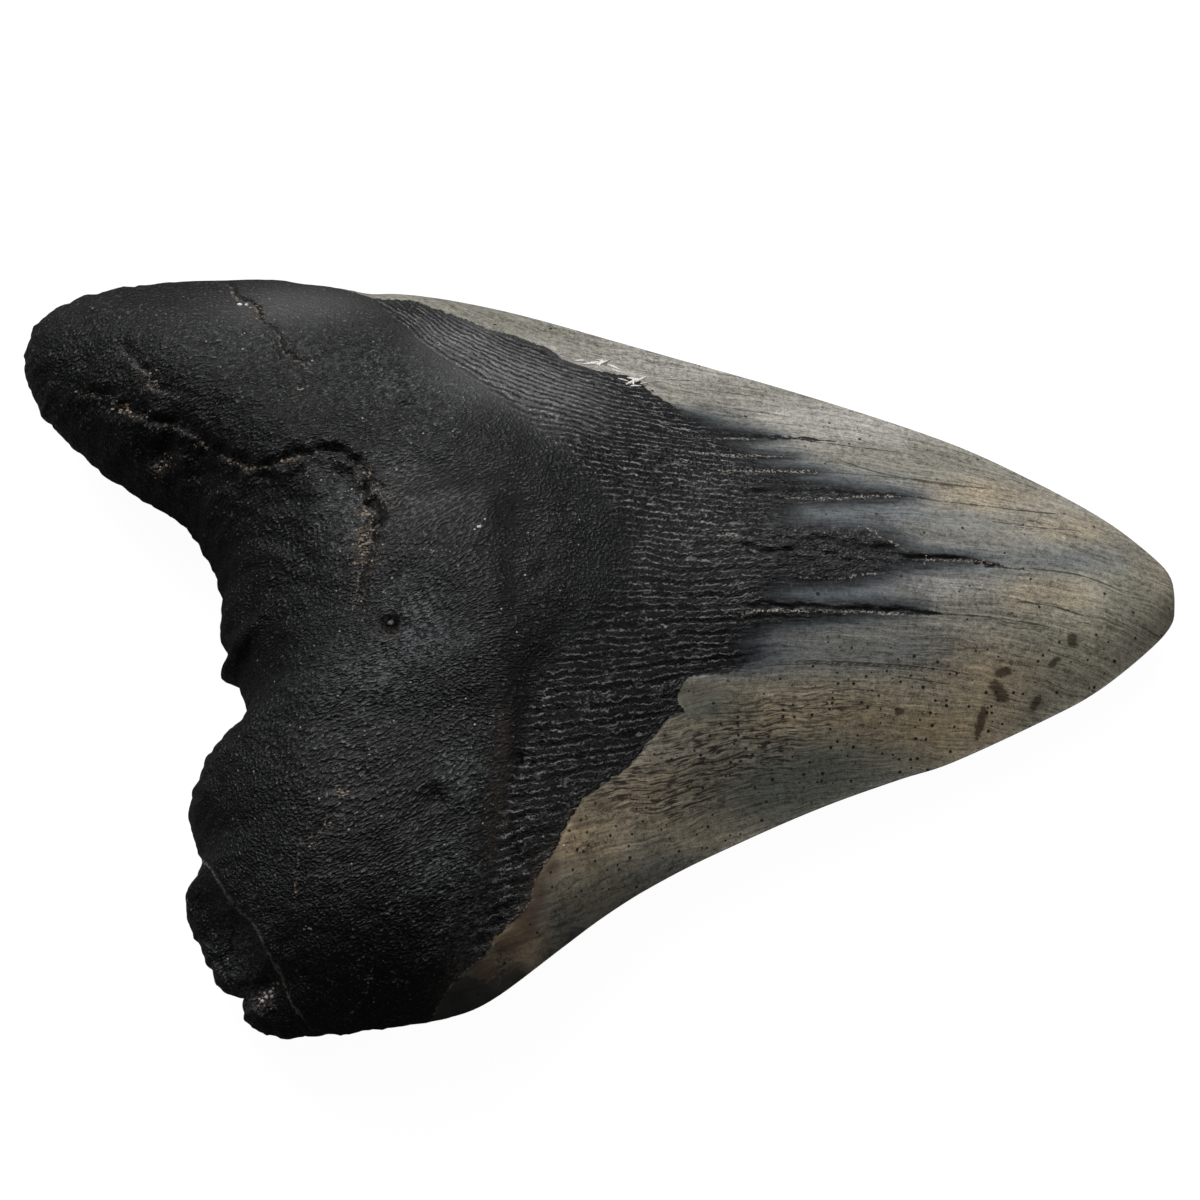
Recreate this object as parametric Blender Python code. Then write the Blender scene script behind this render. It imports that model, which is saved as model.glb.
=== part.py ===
"""A fossil megalodon tooth, lying on its labial face with the lingual face up.

The tooth grew as one piece, so it is one solid: a blade-like enamel crown that points along +X,
a narrow bourlette behind it, and a heavy root with two lobes and a notch between them.
Lengths are in millimetres until the mesh is made.
"""

import bpy
import bmesh
import numpy as np
from mathutils import Vector, noise

MM = 0.001

# The outline seen from above, from the middle of the tooth.
TIP_TO_FAR_LOBE = [
    (62.6, -1.8), (62.5, 0.9), (60.8, 3.5), (55.8, 8.3), (48, 13.7), (39, 18.9), (25, 25.1),
    (10, 31), (-5.5, 36.8), (-14.5, 39.3), (-23.5, 40.3), (-30, 41.6), (-35.5, 42.8),
    (-48, 43.3), (-54, 42.9), (-58.5, 41.6), (-61.3, 39.5), (-62.6, 36.6),
]
BASE_FORM = [
    (-62.6, 36.6), (-62, 32), (-58.3, 26.4), (-53, 21), (-47.2, 16), (-44, 10), (-42.7, 5),
    (-42, -1), (-42.3, -8), (-45.5, -14), (-47.5, -20), (-48.8, -28), (-47.8, -35),
    (-44.5, -41), (-40.8, -43.8),
]
BASE_OUTLINE = [
    (-62.6, 36.6), (-62.6, 34), (-61.2, 30), (-58.5, 26.2), (-53.6, 21), (-46.6, 15.5),
    (-43.9, 11), (-42.6, 6.5), (-43, 1.5), (-42.2, -1.2), (-43, -2.9), (-41.3, -4.2),
    (-40.6, -8.6), (-41.4, -9.4), (-43.2, -11.4), (-46.2, -14.2), (-47.8, -18), (-47.4, -21),
    (-46.8, -24.2), (-48.8, -28), (-48.4, -31), (-46.9, -35), (-46, -37.8), (-43.6, -38.9),
    (-43.4, -41.6), (-40.8, -43.8),
]
TIP_TO_NEAR_LOBE = [
    (62.6, -1.8), (62, -4.4), (59.2, -7.2), (53, -11.5), (47, -14.3), (36, -18.5), (30, -20),
    (21.5, -22.4), (13, -25.4), (4.3, -29), (-4.3, -33.6), (-15.8, -41.2), (-21.5, -43.2),
    (-27, -43.7), (-36.5, -44), (-40.8, -43.8),
]

# Stations along the tooth, from 0 at the tip to 1 at the base of the root: the height of the edge
# all round, the rise of the lingual face above it and the depth of the labial face under it.
STATIONS = [
    (0.00, 5.0, 0.0, 0.0),
    (0.04, 5.1, 2.6, 1.4),
    (0.12, 5.4, 4.9, 2.6),
    (0.25, 5.9, 7.6, 4.7),
    (0.36, 6.3, 9.7, 6.3),
    (0.45, 6.6, 11.4, 6.5),
    (0.52, 7.0, 13.0, 6.3),
    (0.62, 8.2, 15.6, 7.0),
    (0.74, 9.5, 17.2, 9.2),
    (0.88, 9.8, 16.8, 10.2),
    (1.00, 9.5, 14.5, 9.8),
]
BASE_ROUNDING = 0.13        # share of the length over which the root's base rounds off
BASE_DETAIL = 0.10          # share of the length over which the chipped outline fades inwards
CROWN_FLANK = 1.15          # above 1 the blade's flanks are hollow, below it they bulge
CROWN_BELLY = 0.9
ROOT_ROUND = 2.4            # 2 is an ellipse across the root, and more is squarer
ROOT_FLAT = 5.0

# Where the root ends and the bourlette begins, and where the enamel begins, from far to near.
# Both run on past the outline.
ROOT_BORDER = [
    (-31, 50), (-23, 37.5), (-17.5, 29.5), (-13.5, 25), (-8.5, 19), (-4.5, 13), (-3, 6), (-4, -0.5),
    (-6.5, -4.5), (-9.5, -9.5), (-10.5, -13.5), (-12, -19), (-14, -24.5), (-15, -28.5),
    (-16, -33), (-17, -36), (-19, -39), (-22.5, -42.3), (-29, -50),
]
ENAMEL_BORDER = [
    (-38, 54), (-31, 45), (-26.5, 40), (-21.5, 38), (-16, 36), (-11, 34), (-3, 30), (1.5, 28.5), (7, 26),
    (13, 20.5), (18, 12), (19, 4), (18, -3), (15.5, -7.8), (7, -10), (6, -12), (5, -13.7), (2.5, -16.5),
    (0, -19), (-3.3, -21.3), (-6, -23.5), (-9, -28.5), (-10.7, -31), (-12, -33.5), (-16, -37.2),
    (-22.5, -43), (-29, -50),
]
LABIAL_ENAMEL_BORDER = [
    (-32, 54), (-26, 43), (-20, 32), (-15, 18), (-13, 2), (-14, -14), (-18, -28), (-24, -45), (-29, -56),
]
ENAMEL_STEP = 0.35
ENAMEL_STEP_RUN = 0.8       # the step rises over this much of the way
FLUSH_ENAMEL = (0.26, 0.63) # between these shares of its border the enamel lies flush
FLUSH_FADE = 0.1

# The valley on the bourlette's side of the root border and the lip on the root's side: how far
# from the border, half width and height. Both are weak in the middle of the tooth.
BORDER_VALLEY = (0.8, 2.0, -0.9)
BORDER_LIP = (-2.5, 2.0, 0.4)
BORDER_MIDDLE = 0.47        # the share of the border's length where they are weakest
BORDER_WEAKEST = 0.15
BORDER_FADE = (0.05, 0.2)   # how far from there they start to grow, and over what share

# Cracks in the root: the places each passes, its half width and its depth.
FURROW = [
    (-58, 30), (-54.5, 28.5), (-52, 27), (-49.5, 24.5), (-45, 21.7), (-42.5, 20), (-40.5, 18),
    (-37, 16), (-33, 16), (-29, 16.5), (-27.5, 15.5), (-26, 14), (-24, 11.5), (-22.8, 9.5),
    (-22, 8),
]
FURROW_BRANCH = [
    (-26.5, 13), (-25.3, 9.5), (-24.8, 7.5), (-26, 5.5), (-25.6, 3.5), (-26.6, 1.5), (-27.8, -3.5),
]
ROOT_CRACKS = [
    (FURROW, 1.1, 1.8),
    (FURROW_BRANCH, 0.9, 1.1),
    ([(-52, 35), (-50.5, 31.5), (-48, 28), (-45, 26)], 0.7, 0.7),
    ([(-38.5, 39.5), (-36, 35), (-34, 31), (-31, 28), (-29.5, 25.5)], 0.8, 0.9),
    ([(-30, -18), (-31.7, -22), (-32, -24), (-35.5, -27), (-35.2, -29.5), (-36.2, -31),
      (-36, -35)], 0.6, 0.5),
    ([(-28.5, -39), (-29, -41), (-30.3, -42.5), (-32, -43.7)], 1.2, 0.9),
]
CRACK_TAPERS = (0.15, 0.25)  # shares of a crack's length over which it thins out at its ends
FURROW_STEP = 1.7           # the root is lower on the notch side of its furrow by this much
FURROW_STEP_WALL = 1.5
FURROW_STEP_REACH = 9
FURROW_STEP_TAPERS = (0.2, 0.1)
FURROW_STEP_LINE = FURROW[:11] + [(-25.8, 13.5), (-24, 10), (-23.8, 7.5)] + FURROW_BRANCH[3:]

# Fissures in the enamel, in the same form.
CROWN_FISSURES = [
    ([(16, 4.8), (23, 5.4), (29, 5), (34.5, 2.6), (40.5, 2.2), (47.5, 0.8), (57, -1.4)], 0.6, 0.9),
    ([(11.5, -2.5), (19, -2.4), (26, -2.5), (34.5, -3.4), (44, -4.5)], 0.45, 0.6),
    ([(16, 11), (24, 10.4), (33.5, 10.6), (45.5, 9)], 0.45, 0.45),
]

# Round pits in the root: centre, radius and depth.
PITS = [
    ((-24, -3.7), 0.95, 2.0),
    ((-20.6, 22), 1.9, 0.5),
    ((-47.5, 20.5), 1.6, 1.0),
    ((-7.7, 1), 0.9, 0.6),
    ((-25, -7.8), 1.2, 0.4),
    ((-21, -23.2), 1.3, 0.6),
    ((-11.7, -19), 0.7, 0.9),
]

# Broad swells and hollows of the root: centre, half widths along X and Y, height.
SWELLS = [
    ((-21, -1), (13, 12), 1.5),
    ((-17, 19), (13, 9), 1.0),
    ((-30, -28), (13, 11), 1.4),
    ((-24, -13.5), (9, 4), -0.9),
    ((-33, 4), (7, 12), -0.8),
    ((-45, 34), (13, 6), 0.8),
]
LABIAL_HOLLOW = ((-34, 0), (16, 14), 1.4)

# The near lobe's end broke away along this line and left a rough ledge lower down.
LEDGE_LINE = [
    (-47.5, -23), (-44.6, -29.5), (-42.2, -33), (-41, -35.8), (-39.7, -38), (-37.6, -41.5),
    (-35.5, -44.5),
]
LEDGE_RISE = 2.5            # how far the ledge lies above the edge of the tooth
LEDGE_WALL = 1.8
LEDGE_FROM, LEDGE_FADE = -22, 4
LEDGE_LUMPS, LEDGE_LUMP_SIZE = 1.2, 3.5

LUMP_SIZE = 9.0
LUMP_DIMENSION, LUMP_GAP, LUMP_LAYERS = 0.9, 2.0, 3
LINGUAL_LUMPS = 0.45
LABIAL_LUMPS = 0.3
LINGUAL_SEED, LABIAL_SEED, LEDGE_SEED = 1.0, 4.0, 7.0
ENAMEL_EVENNESS = 0.2       # the crown's share of the root's lumps
RELIEF_FADE = 4.0           # the relief is whole where a face stands this far off the edge

ROOT_STARTS, ROOT_BLEND = 0.5, 0.2    # where the blade's section turns into the root's
BASE_BENDS = 0.25           # from here on the rows begin to follow the root's base
FOSSIL_COLOUR = (0.06, 0.06, 0.06)
CURVE_STEPS = 16            # places on a curve between two of its points
LINE_STEPS = 8              # the same for borders and cracks
OUTLINE_STEPS = 400
STATION_STEPS = 201
STATION_SMOOTHING = 12
COLUMNS, ROWS = 220, 190
BASE_ROWS = (0.25, 0.20)    # a quarter of the rows lie in the last fifth of the length
CROWDING = (0.2, 0.6)       # how far the columns crowd to the edges, and how much more in the root
CROWDING_ZONE = (0.4, 0.3)
TRIANGLES = 9600
RESTING_BAND = 0.03         # what lies within this height of the ground rests on it


def smooth_path(points, count):
    """A smooth curve through the points, as places spaced evenly along it."""
    p = np.array(points, float)
    p = np.vstack([2 * p[0] - p[1], p, 2 * p[-1] - p[-2]])
    t = np.linspace(0, 1, CURVE_STEPS, endpoint=False)[:, None]
    dense = []
    for a, b, c, d in zip(p, p[1:], p[2:], p[3:]):
        dense.append(0.5 * (2 * b + (c - a) * t + (2 * a - 5 * b + 4 * c - d) * t**2
                            + (3 * b - a - 3 * c + d) * t**3))
    dense = np.vstack([*dense, p[-2:-1]])
    steps = np.linalg.norm(np.diff(dense, axis=0), axis=1)
    along = np.concatenate([[0], np.cumsum(steps)])
    at = np.linspace(0, along[-1], count)
    return np.stack([np.interp(at, along, dense[:, k]) for k in (0, 1)], axis=1)


def follow(path, share):
    """Places on a path at shares of its length."""
    at = np.clip(share, 0, 1) * (len(path) - 1)
    index = np.arange(len(path))
    return np.stack([np.interp(at, index, path[:, k]) for k in (0, 1)], axis=-1)


def smoothstep(x):
    x = np.clip(x, 0, 1)
    return x * x * (3 - 2 * x)


def tapered(along, ends):
    """1 along a line, falling to 0 over the given shares of its length at its two ends."""
    return smoothstep(along / ends[0]) * smoothstep((1 - along) / ends[1])


def bump(away, centre, half_width, height):
    return height * np.exp(-((away - centre) / half_width) ** 2)


def away_from(xy, points):
    """Distance to a curve, positive on its left, and how far along the curve, from 0 to 1."""
    line = smooth_path(points, LINE_STEPS * len(points))
    nearest = np.full(len(xy), np.inf)
    side = np.ones(len(xy))
    along = np.zeros(len(xy))
    for k, (a, b) in enumerate(zip(line, line[1:])):
        run = b - a
        share = np.clip((xy - a) @ run / (run @ run), 0, 1)
        off = xy - a - share[:, None] * run
        distance = np.hypot(off[:, 0], off[:, 1])
        closer = distance < nearest
        nearest[closer] = distance[closer]
        turn = run[0] * off[:, 1] - run[1] * off[:, 0]
        side[closer] = np.where(turn[closer] < 0, -1, 1)
        along[closer] = (k + share[closer]) / (len(line) - 1)
    return nearest * side, along


def station(s, column):
    """One column of the stations, read as a smooth curve."""
    table = np.array(STATIONS)
    fine = np.linspace(0, 1, STATION_STEPS)
    values = np.interp(fine, table[:, 0], table[:, column])
    for _ in range(STATION_SMOOTHING):
        values[1:-1] = (values[:-2] + 2 * values[1:-1] + values[2:]) / 4
    return np.interp(s, fine, values)


def plan(s, t):
    """The place seen from above: s from tip to base, t from -1 at the near edge to 1 at the far."""
    far, near, form, chipped = (smooth_path(points, OUTLINE_STEPS) for points in (
        TIP_TO_FAR_LOBE, TIP_TO_NEAR_LOBE, BASE_FORM, BASE_OUTLINE))
    share = (t[:, None] + 1) / 2
    across = (1 - share) * follow(near, s) + share * follow(far, s)
    end = (1 - share) * near[-1] + share * far[-1]
    bend = np.clip((s - BASE_BENDS) / (1 - BASE_BENDS), 0, 1)
    bend = (bend + smoothstep(bend)) / 2
    base = follow(form, 1 - share[:, 0])
    chips = follow(chipped, 1 - share[:, 0]) - base
    fade = smoothstep((s - 1 + BASE_DETAIL) / BASE_DETAIL)
    return across + bend[:, None] * (base - end) + fade[:, None] * chips


def rootness(s):
    return smoothstep((s - ROOT_STARTS) / ROOT_BLEND)


def section(s, t, flank, squareness):
    """Share of the full height at t: a thin blade in the crown and a full round in the root."""
    root = rootness(s)
    power = flank * (1 - root) + 0.5 * root
    wide = 2 * (1 - root) + squareness * root
    return np.maximum(1 - np.abs(t) ** wide, 0) ** power


def base_round(s):
    """1 along the tooth, falling to 0 in a quarter circle at the root's base."""
    return np.sqrt(1 - np.clip((s - 1 + BASE_ROUNDING) / BASE_ROUNDING, 0, 1) ** 2)


def lumps(xy, size, seed):
    """Soft uneven ground between about -1 and 1."""
    return np.array([noise.fractal(Vector((x / size, y / size, seed)),
                                   LUMP_DIMENSION, LUMP_GAP, LUMP_LAYERS) for x, y in xy])


def unevenness(s):
    return ENAMEL_EVENNESS + (1 - ENAMEL_EVENNESS) * rootness(s)


def groove(xy, points, width, depth):
    """A crack that starts and ends thin."""
    away, along = away_from(xy, points)
    return tapered(along, CRACK_TAPERS) * bump(away, 0, width, -depth)


def pit(xy, centre, radius, depth):
    away = np.hypot(xy[:, 0] - centre[0], xy[:, 1] - centre[1]) / radius
    return -depth * np.exp(-away**4)


def swell(xy, centre, widths, height):
    x, y = ((xy[:, k] - centre[k]) / widths[k] for k in (0, 1))
    return height * np.exp(-x * x - y * y)


def furrow_step(xy):
    """The notch side of the root's main furrow lies lower, up to the furrow."""
    away, along = away_from(xy, FURROW_STEP_LINE)
    below = smoothstep(-away / FURROW_STEP_WALL) * np.exp(np.minimum(away, 0) / FURROW_STEP_REACH)
    return -FURROW_STEP * tapered(along, FURROW_STEP_TAPERS) * below


def border_relief(xy):
    """The valley where the root meets the bourlette, and the low step up onto the enamel."""
    away, along = away_from(xy, ROOT_BORDER)
    growth = smoothstep((np.abs(along - BORDER_MIDDLE) - BORDER_FADE[0]) / BORDER_FADE[1])
    arms = BORDER_WEAKEST + (1 - BORDER_WEAKEST) * growth
    folds = arms * (bump(away, *BORDER_VALLEY) + bump(away, *BORDER_LIP))
    away, along = away_from(xy, ENAMEL_BORDER)
    start, end = FLUSH_ENAMEL
    flush = smoothstep((along - start) / FLUSH_FADE) * smoothstep((end - along) / FLUSH_FADE)
    return folds + ENAMEL_STEP * (1 - flush) * smoothstep(away / ENAMEL_STEP_RUN + 0.5)


def ledge(xy, z, edge):
    """Lowers what lies beyond the broken line to a rough ledge."""
    away, _ = away_from(xy, LEDGE_LINE)
    beyond = smoothstep(-away / LEDGE_WALL) * smoothstep((LEDGE_FROM - xy[:, 1]) / LEDGE_FADE)
    floor = edge + LEDGE_RISE + LEDGE_LUMPS * lumps(xy, LEDGE_LUMP_SIZE, LEDGE_SEED)
    return z - beyond * np.maximum(z - np.maximum(floor, edge), 0)


def lingual_height(xy, s, t):
    edge = station(s, 1)
    rise = station(s, 2) * section(s, t, CROWN_FLANK, ROOT_ROUND) * base_round(s)
    relief = LINGUAL_LUMPS * unevenness(s) * lumps(xy, LUMP_SIZE, LINGUAL_SEED)
    relief += furrow_step(xy) + border_relief(xy)
    for points, width, depth in ROOT_CRACKS + CROWN_FISSURES:
        relief += groove(xy, points, width, depth)
    for centre, radius, depth in PITS:
        relief += pit(xy, centre, radius, depth)
    for centre, widths, height in SWELLS:
        relief += swell(xy, centre, widths, height)
    inland = smoothstep(rise / RELIEF_FADE)
    return ledge(xy, edge + rise + inland * relief, edge)


def labial_height(xy, s, t):
    depth = station(s, 3) * section(s, t, CROWN_BELLY, ROOT_FLAT) * base_round(s)
    enamel, _ = away_from(xy, LABIAL_ENAMEL_BORDER)
    relief = swell(xy, *LABIAL_HOLLOW) - ENAMEL_STEP * smoothstep(enamel / ENAMEL_STEP_RUN + 0.5)
    relief += LABIAL_LUMPS * unevenness(s) * lumps(xy, LUMP_SIZE, LABIAL_SEED)
    return np.maximum(station(s, 1) - depth + smoothstep(depth / RELIEF_FADE) * relief, 0)


def fossil_material():
    material = bpy.data.materials.new("fossil")
    material.use_nodes = True
    shader = material.node_tree.nodes["Principled BSDF"]
    shader.inputs["Base Color"].default_value = (*FOSSIL_COLOUR, 1)
    shader.inputs["Roughness"].default_value = 0.45
    return material


def spread(u, v):
    """Grid places (u from -1 to 1, v from 0 to 1) as t and s, crowded where the surface is steep."""
    rows, length = BASE_ROWS
    late = np.clip((v - 1 + rows) / rows, 0, 1)
    s = np.where(late > 0, 1 - length + length * np.sin(late * np.pi / 2), v * (1 - length) / (1 - rows))
    crowd = CROWDING[0] + CROWDING[1] * smoothstep((s - CROWDING_ZONE[0]) / CROWDING_ZONE[1])
    return s, (1 - crowd) * u + crowd * np.sin(u * np.pi / 2)


def face_sheet(name, lingual):
    """A grid laid over the outline and lifted to the lingual or the labial face."""
    bpy.ops.mesh.primitive_grid_add(x_subdivisions=COLUMNS, y_subdivisions=ROWS, size=2)
    sheet = bpy.context.object
    sheet.name = name
    mesh = sheet.data
    co = np.empty(len(mesh.vertices) * 3)
    mesh.vertices.foreach_get("co", co)
    s, t = spread(np.round(co[0::3], 5), np.round(co[1::3] / 2 + 0.5, 5))
    xy = plan(s, t)
    z = lingual_height(xy, s, t) if lingual else labial_height(xy, s, t)
    mesh.vertices.foreach_set("co", (np.column_stack([xy, z]) * MM).ravel())
    mesh.update()
    return sheet


def settle(mesh):
    """Makes the worn places underneath truly flat, and puts the mesh's box over the origin."""
    co = np.empty(len(mesh.vertices) * 3)
    mesh.vertices.foreach_get("co", co)
    co = co.reshape(-1, 3)
    co[co[:, 2] < RESTING_BAND * MM, 2] = 0
    low, high = co.min(axis=0), co.max(axis=0)
    co[:, :2] -= (low[:2] + high[:2]) / 2
    mesh.vertices.foreach_set("co", co.ravel())


def build_tooth():
    lingual = face_sheet("tooth", True)
    labial = face_sheet("labial_face", False)
    bm = bmesh.new()
    bm.from_mesh(lingual.data)
    bm.from_mesh(labial.data)
    bmesh.ops.remove_doubles(bm, verts=bm.verts, dist=1e-7)
    bmesh.ops.recalc_face_normals(bm, faces=bm.faces)
    bm.to_mesh(lingual.data)
    bm.free()
    bpy.data.objects.remove(labial)
    thin = lingual.modifiers.new("facets", "DECIMATE")
    thin.ratio = TRIANGLES / sum(len(f.vertices) - 2 for f in lingual.data.polygons)
    bpy.context.view_layer.objects.active = lingual
    bpy.ops.object.modifier_apply(modifier=thin.name)
    settle(lingual.data)
    lingual.data.shade_smooth()
    lingual.data.materials.append(fossil_material())
    return lingual


def main():
    for old in list(bpy.data.objects):
        bpy.data.objects.remove(old)
    tooth = build_tooth()
    group = bpy.data.collections.new("megalodon_tooth")
    bpy.context.scene.collection.children.link(group)
    for used in list(tooth.users_collection):
        used.objects.unlink(tooth)
    group.objects.link(tooth)


main()
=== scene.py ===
import math
import random

import bpy
import numpy as np
from bpy.props import FloatProperty, FloatVectorProperty, IntProperty, PointerProperty
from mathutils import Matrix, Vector, noise


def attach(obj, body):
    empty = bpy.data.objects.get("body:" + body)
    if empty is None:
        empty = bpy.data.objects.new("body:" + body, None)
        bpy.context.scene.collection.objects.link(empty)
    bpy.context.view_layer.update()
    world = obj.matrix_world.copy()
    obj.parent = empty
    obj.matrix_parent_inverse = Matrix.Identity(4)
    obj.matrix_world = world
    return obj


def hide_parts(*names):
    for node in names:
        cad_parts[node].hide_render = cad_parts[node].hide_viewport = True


bl_info = {
    "name": "Megalodon tooth",
    "version": (1, 0, 0),
    "blender": (4, 5, 0),
    "location": "3D View > Sidebar > Tooth",
    "description": "Builds a fossil megalodon tooth with its root, bourlette and enamel",
    "category": "Object",
}

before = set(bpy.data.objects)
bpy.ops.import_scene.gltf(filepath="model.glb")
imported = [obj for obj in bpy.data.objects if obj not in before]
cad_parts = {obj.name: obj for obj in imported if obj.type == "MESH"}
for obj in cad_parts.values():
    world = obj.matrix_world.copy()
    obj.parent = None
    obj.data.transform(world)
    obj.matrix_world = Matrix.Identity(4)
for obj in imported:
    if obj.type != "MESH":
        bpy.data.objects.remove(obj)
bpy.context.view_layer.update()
MM = 0.001
UP = Vector((0, 0, 1))

# The tooth's form, as its solid has it. Plan places are in millimetres from the middle.
TIP_TO_FAR_LOBE = [
    (62.6, -1.8), (62.5, 0.9), (60.8, 3.5), (55.8, 8.3), (48, 13.7), (39, 18.9), (25, 25.1),
    (10, 31), (-5.5, 36.8), (-14.5, 39.3), (-23.5, 40.3), (-30, 41.6), (-35.5, 42.8),
    (-48, 43.3), (-54, 42.9), (-58.5, 41.6), (-61.3, 39.5), (-62.6, 36.6),
]
BASE_FORM = [
    (-62.6, 36.6), (-62, 32), (-58.3, 26.4), (-53, 21), (-47.2, 16), (-44, 10), (-42.7, 5),
    (-42, -1), (-42.3, -8), (-45.5, -14), (-47.5, -20), (-48.8, -28), (-47.8, -35),
    (-44.5, -41), (-40.8, -43.8),
]
BASE_OUTLINE = [
    (-62.6, 36.6), (-62.6, 34), (-61.2, 30), (-58.5, 26.2), (-53.6, 21), (-46.6, 15.5),
    (-43.9, 11), (-42.6, 6.5), (-43, 1.5), (-42.2, -1.2), (-43, -2.9), (-41.3, -4.2),
    (-40.6, -8.6), (-41.4, -9.4), (-43.2, -11.4), (-46.2, -14.2), (-47.8, -18), (-47.4, -21),
    (-46.8, -24.2), (-48.8, -28), (-48.4, -31), (-46.9, -35), (-46, -37.8), (-43.6, -38.9),
    (-43.4, -41.6), (-40.8, -43.8),
]
TIP_TO_NEAR_LOBE = [
    (62.6, -1.8), (62, -4.4), (59.2, -7.2), (53, -11.5), (47, -14.3), (36, -18.5), (30, -20),
    (21.5, -22.4), (13, -25.4), (4.3, -29), (-4.3, -33.6), (-15.8, -41.2), (-21.5, -43.2),
    (-27, -43.7), (-36.5, -44), (-40.8, -43.8),
]
# Share of the length from the tip: height of the edge, rise of the lingual face, labial depth.
STATIONS = [
    (0.00, 5.0, 0.0, 0.0),
    (0.04, 5.1, 2.6, 1.4),
    (0.12, 5.4, 4.9, 2.6),
    (0.25, 5.9, 7.6, 4.7),
    (0.36, 6.3, 9.7, 6.3),
    (0.45, 6.6, 11.4, 6.5),
    (0.52, 7.0, 13.0, 6.3),
    (0.62, 8.2, 15.6, 7.0),
    (0.74, 9.5, 17.2, 9.2),
    (0.88, 9.8, 16.8, 10.2),
    (1.00, 9.5, 14.5, 9.8),
]
BASE_ROUNDING = 0.13
BASE_DETAIL = 0.10
CROWN_FLANK = 1.15
CROWN_BELLY = 0.9
ROOT_ROUND = 2.4
ROOT_FLAT = 5.0
ROOT_BORDER = [
    (-31, 50), (-23, 37.5), (-17.5, 29.5), (-13.5, 25), (-8.5, 19), (-4.5, 13), (-3, 6), (-4, -0.5),
    (-6.5, -4.5), (-9.5, -9.5), (-10.5, -13.5), (-12, -19), (-14, -24.5), (-15, -28.5),
    (-16, -33), (-17, -36), (-19, -39), (-22.5, -42.3), (-29, -50),
]
ENAMEL_BORDER = [
    (-38, 54), (-31, 45), (-26.5, 40), (-21.5, 38), (-16, 36), (-11, 34), (-3, 30), (1.5, 28.5),
    (7, 26), (13, 20.5), (18, 12), (19, 4), (18, -3), (15.5, -7.8), (7, -10), (6, -12), (5, -13.7),
    (2.5, -16.5), (0, -19), (-3.3, -21.3), (-6, -23.5), (-9, -28.5), (-10.7, -31), (-12, -33.5),
    (-16, -37.2), (-22.5, -43), (-29, -50),
]
LABIAL_ENAMEL_BORDER = [
    (-32, 54), (-26, 43), (-20, 32), (-15, 18), (-13, 2), (-14, -14), (-18, -28), (-24, -45), (-29, -56),
]
ENAMEL_STEP = 0.22
ENAMEL_STEP_RUN = 0.7
FLUSH_ENAMEL = (0.26, 0.63)
FLUSH_FADE = 0.1
BORDER_VALLEY = (0.8, 1.5, -0.6)
BORDER_LIP = (-2.5, 2.0, 0.4)
BORDER_MIDDLE = 0.47
BORDER_WEAKEST = 0.15
BORDER_FADE = (0.05, 0.2)
CRACK_TAPERS = (0.15, 0.25)
CRACK_REACH = 5.0
CRACK_WANDER = 0.3
CRACK_DEPTHS = (0.8, 0.9)       # share of the depth, give or take that much of the raggedness
CRACK_LIPS = (0.4, 3.5)         # height as a share of the depth, reach in half widths
FURROW_STEP = 0.65
FURROW_STEP_WALL = 0.7
FURROW_STEP_REACH = 9
FURROW_STEP_TAPERS = (0.2, 0.1)
FURROW_STEP_RAGGED = 1.5
FURROW_STEP_SPREAD = (0.8, 1.6)         # its depth is this, give or take that much of the unevenness
FURROW_STEP_BOUNDS = (0.15, 1.5)
FURROW_STEP_LINE = [
    (-58, 30), (-54.5, 28.5), (-52, 27), (-49.5, 24.5), (-45, 21.7), (-42.5, 20), (-40.5, 18),
    (-37, 16), (-33, 16), (-29, 16.5), (-27.5, 15.5), (-25.8, 13.5), (-24, 10), (-23.8, 7.5),
    (-26, 5.5), (-25.6, 3.5), (-26.6, 1.5), (-27.8, -3.5),
]
PITS = [
    ((-24, -4.2), 1.05, 1.6),
    ((-47.5, 20.5), 1.6, 1.0),
    ((-7.7, 1), 0.75, 0.35),
    ((-25, -7.8), 1.6, 0.4),
    ((-18.9, -4.2), 1.6, 0.35),
    ((-21, -23.2), 1.3, 0.6),
    ((-11.7, -19), 0.7, 0.9),
]
SWELLS = [
    ((-21, -1), (13, 12), 1.5),
    ((-17, 19), (13, 9), 1.0),
    ((-30, -28), (13, 11), 1.4),
    ((-24, -13.5), (9, 4), -0.9),
    ((-33, 4), (7, 12), -0.8),
    ((-45, 34), (13, 6), 0.8),
]
LABIAL_HOLLOW = ((-34, 0), (16, 14), 1.4)
RING = ((-20.6, 22.3), (1.7, 1.1), 0.35)
RING_WALL, RING_MIDDLE, RING_MIDDLE_HEIGHT = 0.35, 0.45, 0.4    # as shares of its radii and depth
LEDGE_LINE = [
    (-47.5, -22.6), (-45.4, -26.6), (-43.6, -30.4), (-41.4, -33), (-40.2, -36.2), (-38.9, -38.4),
    (-38, -41.2), (-35.2, -44.5),
]
LEDGE_RISE = 2.5
LEDGE_WALL = 5.0
LEDGE_FROM, LEDGE_FADE = -22, 4
LEDGE_LUMPS, LEDGE_LUMP_SIZE = 0.35, 2.4
LEDGE_RAGGED = 0.12
LEDGE_HOLLOW = 0.8              # how steeply it drops behind its rim
LEDGE_SCORED = 0.4              # depth of the marks that run down it
LEDGE_SCORES = 30
LEDGE_LIP = (0.25, 0.3, 0.16)
LEDGE_INLAND = 2                # its marks fade out this far above the edge
LUMP_SIZE = 9.0
LUMP_DIMENSION, LUMP_GAP, LUMP_LAYERS = 0.9, 2.0, 3
LINGUAL_LUMPS = 0.45
LABIAL_LUMPS = 0.3
LINGUAL_SEED, LABIAL_SEED, LEDGE_SEED = 1.0, 4.0, 7.0
ENAMEL_EVENNESS = 0.2
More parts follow.
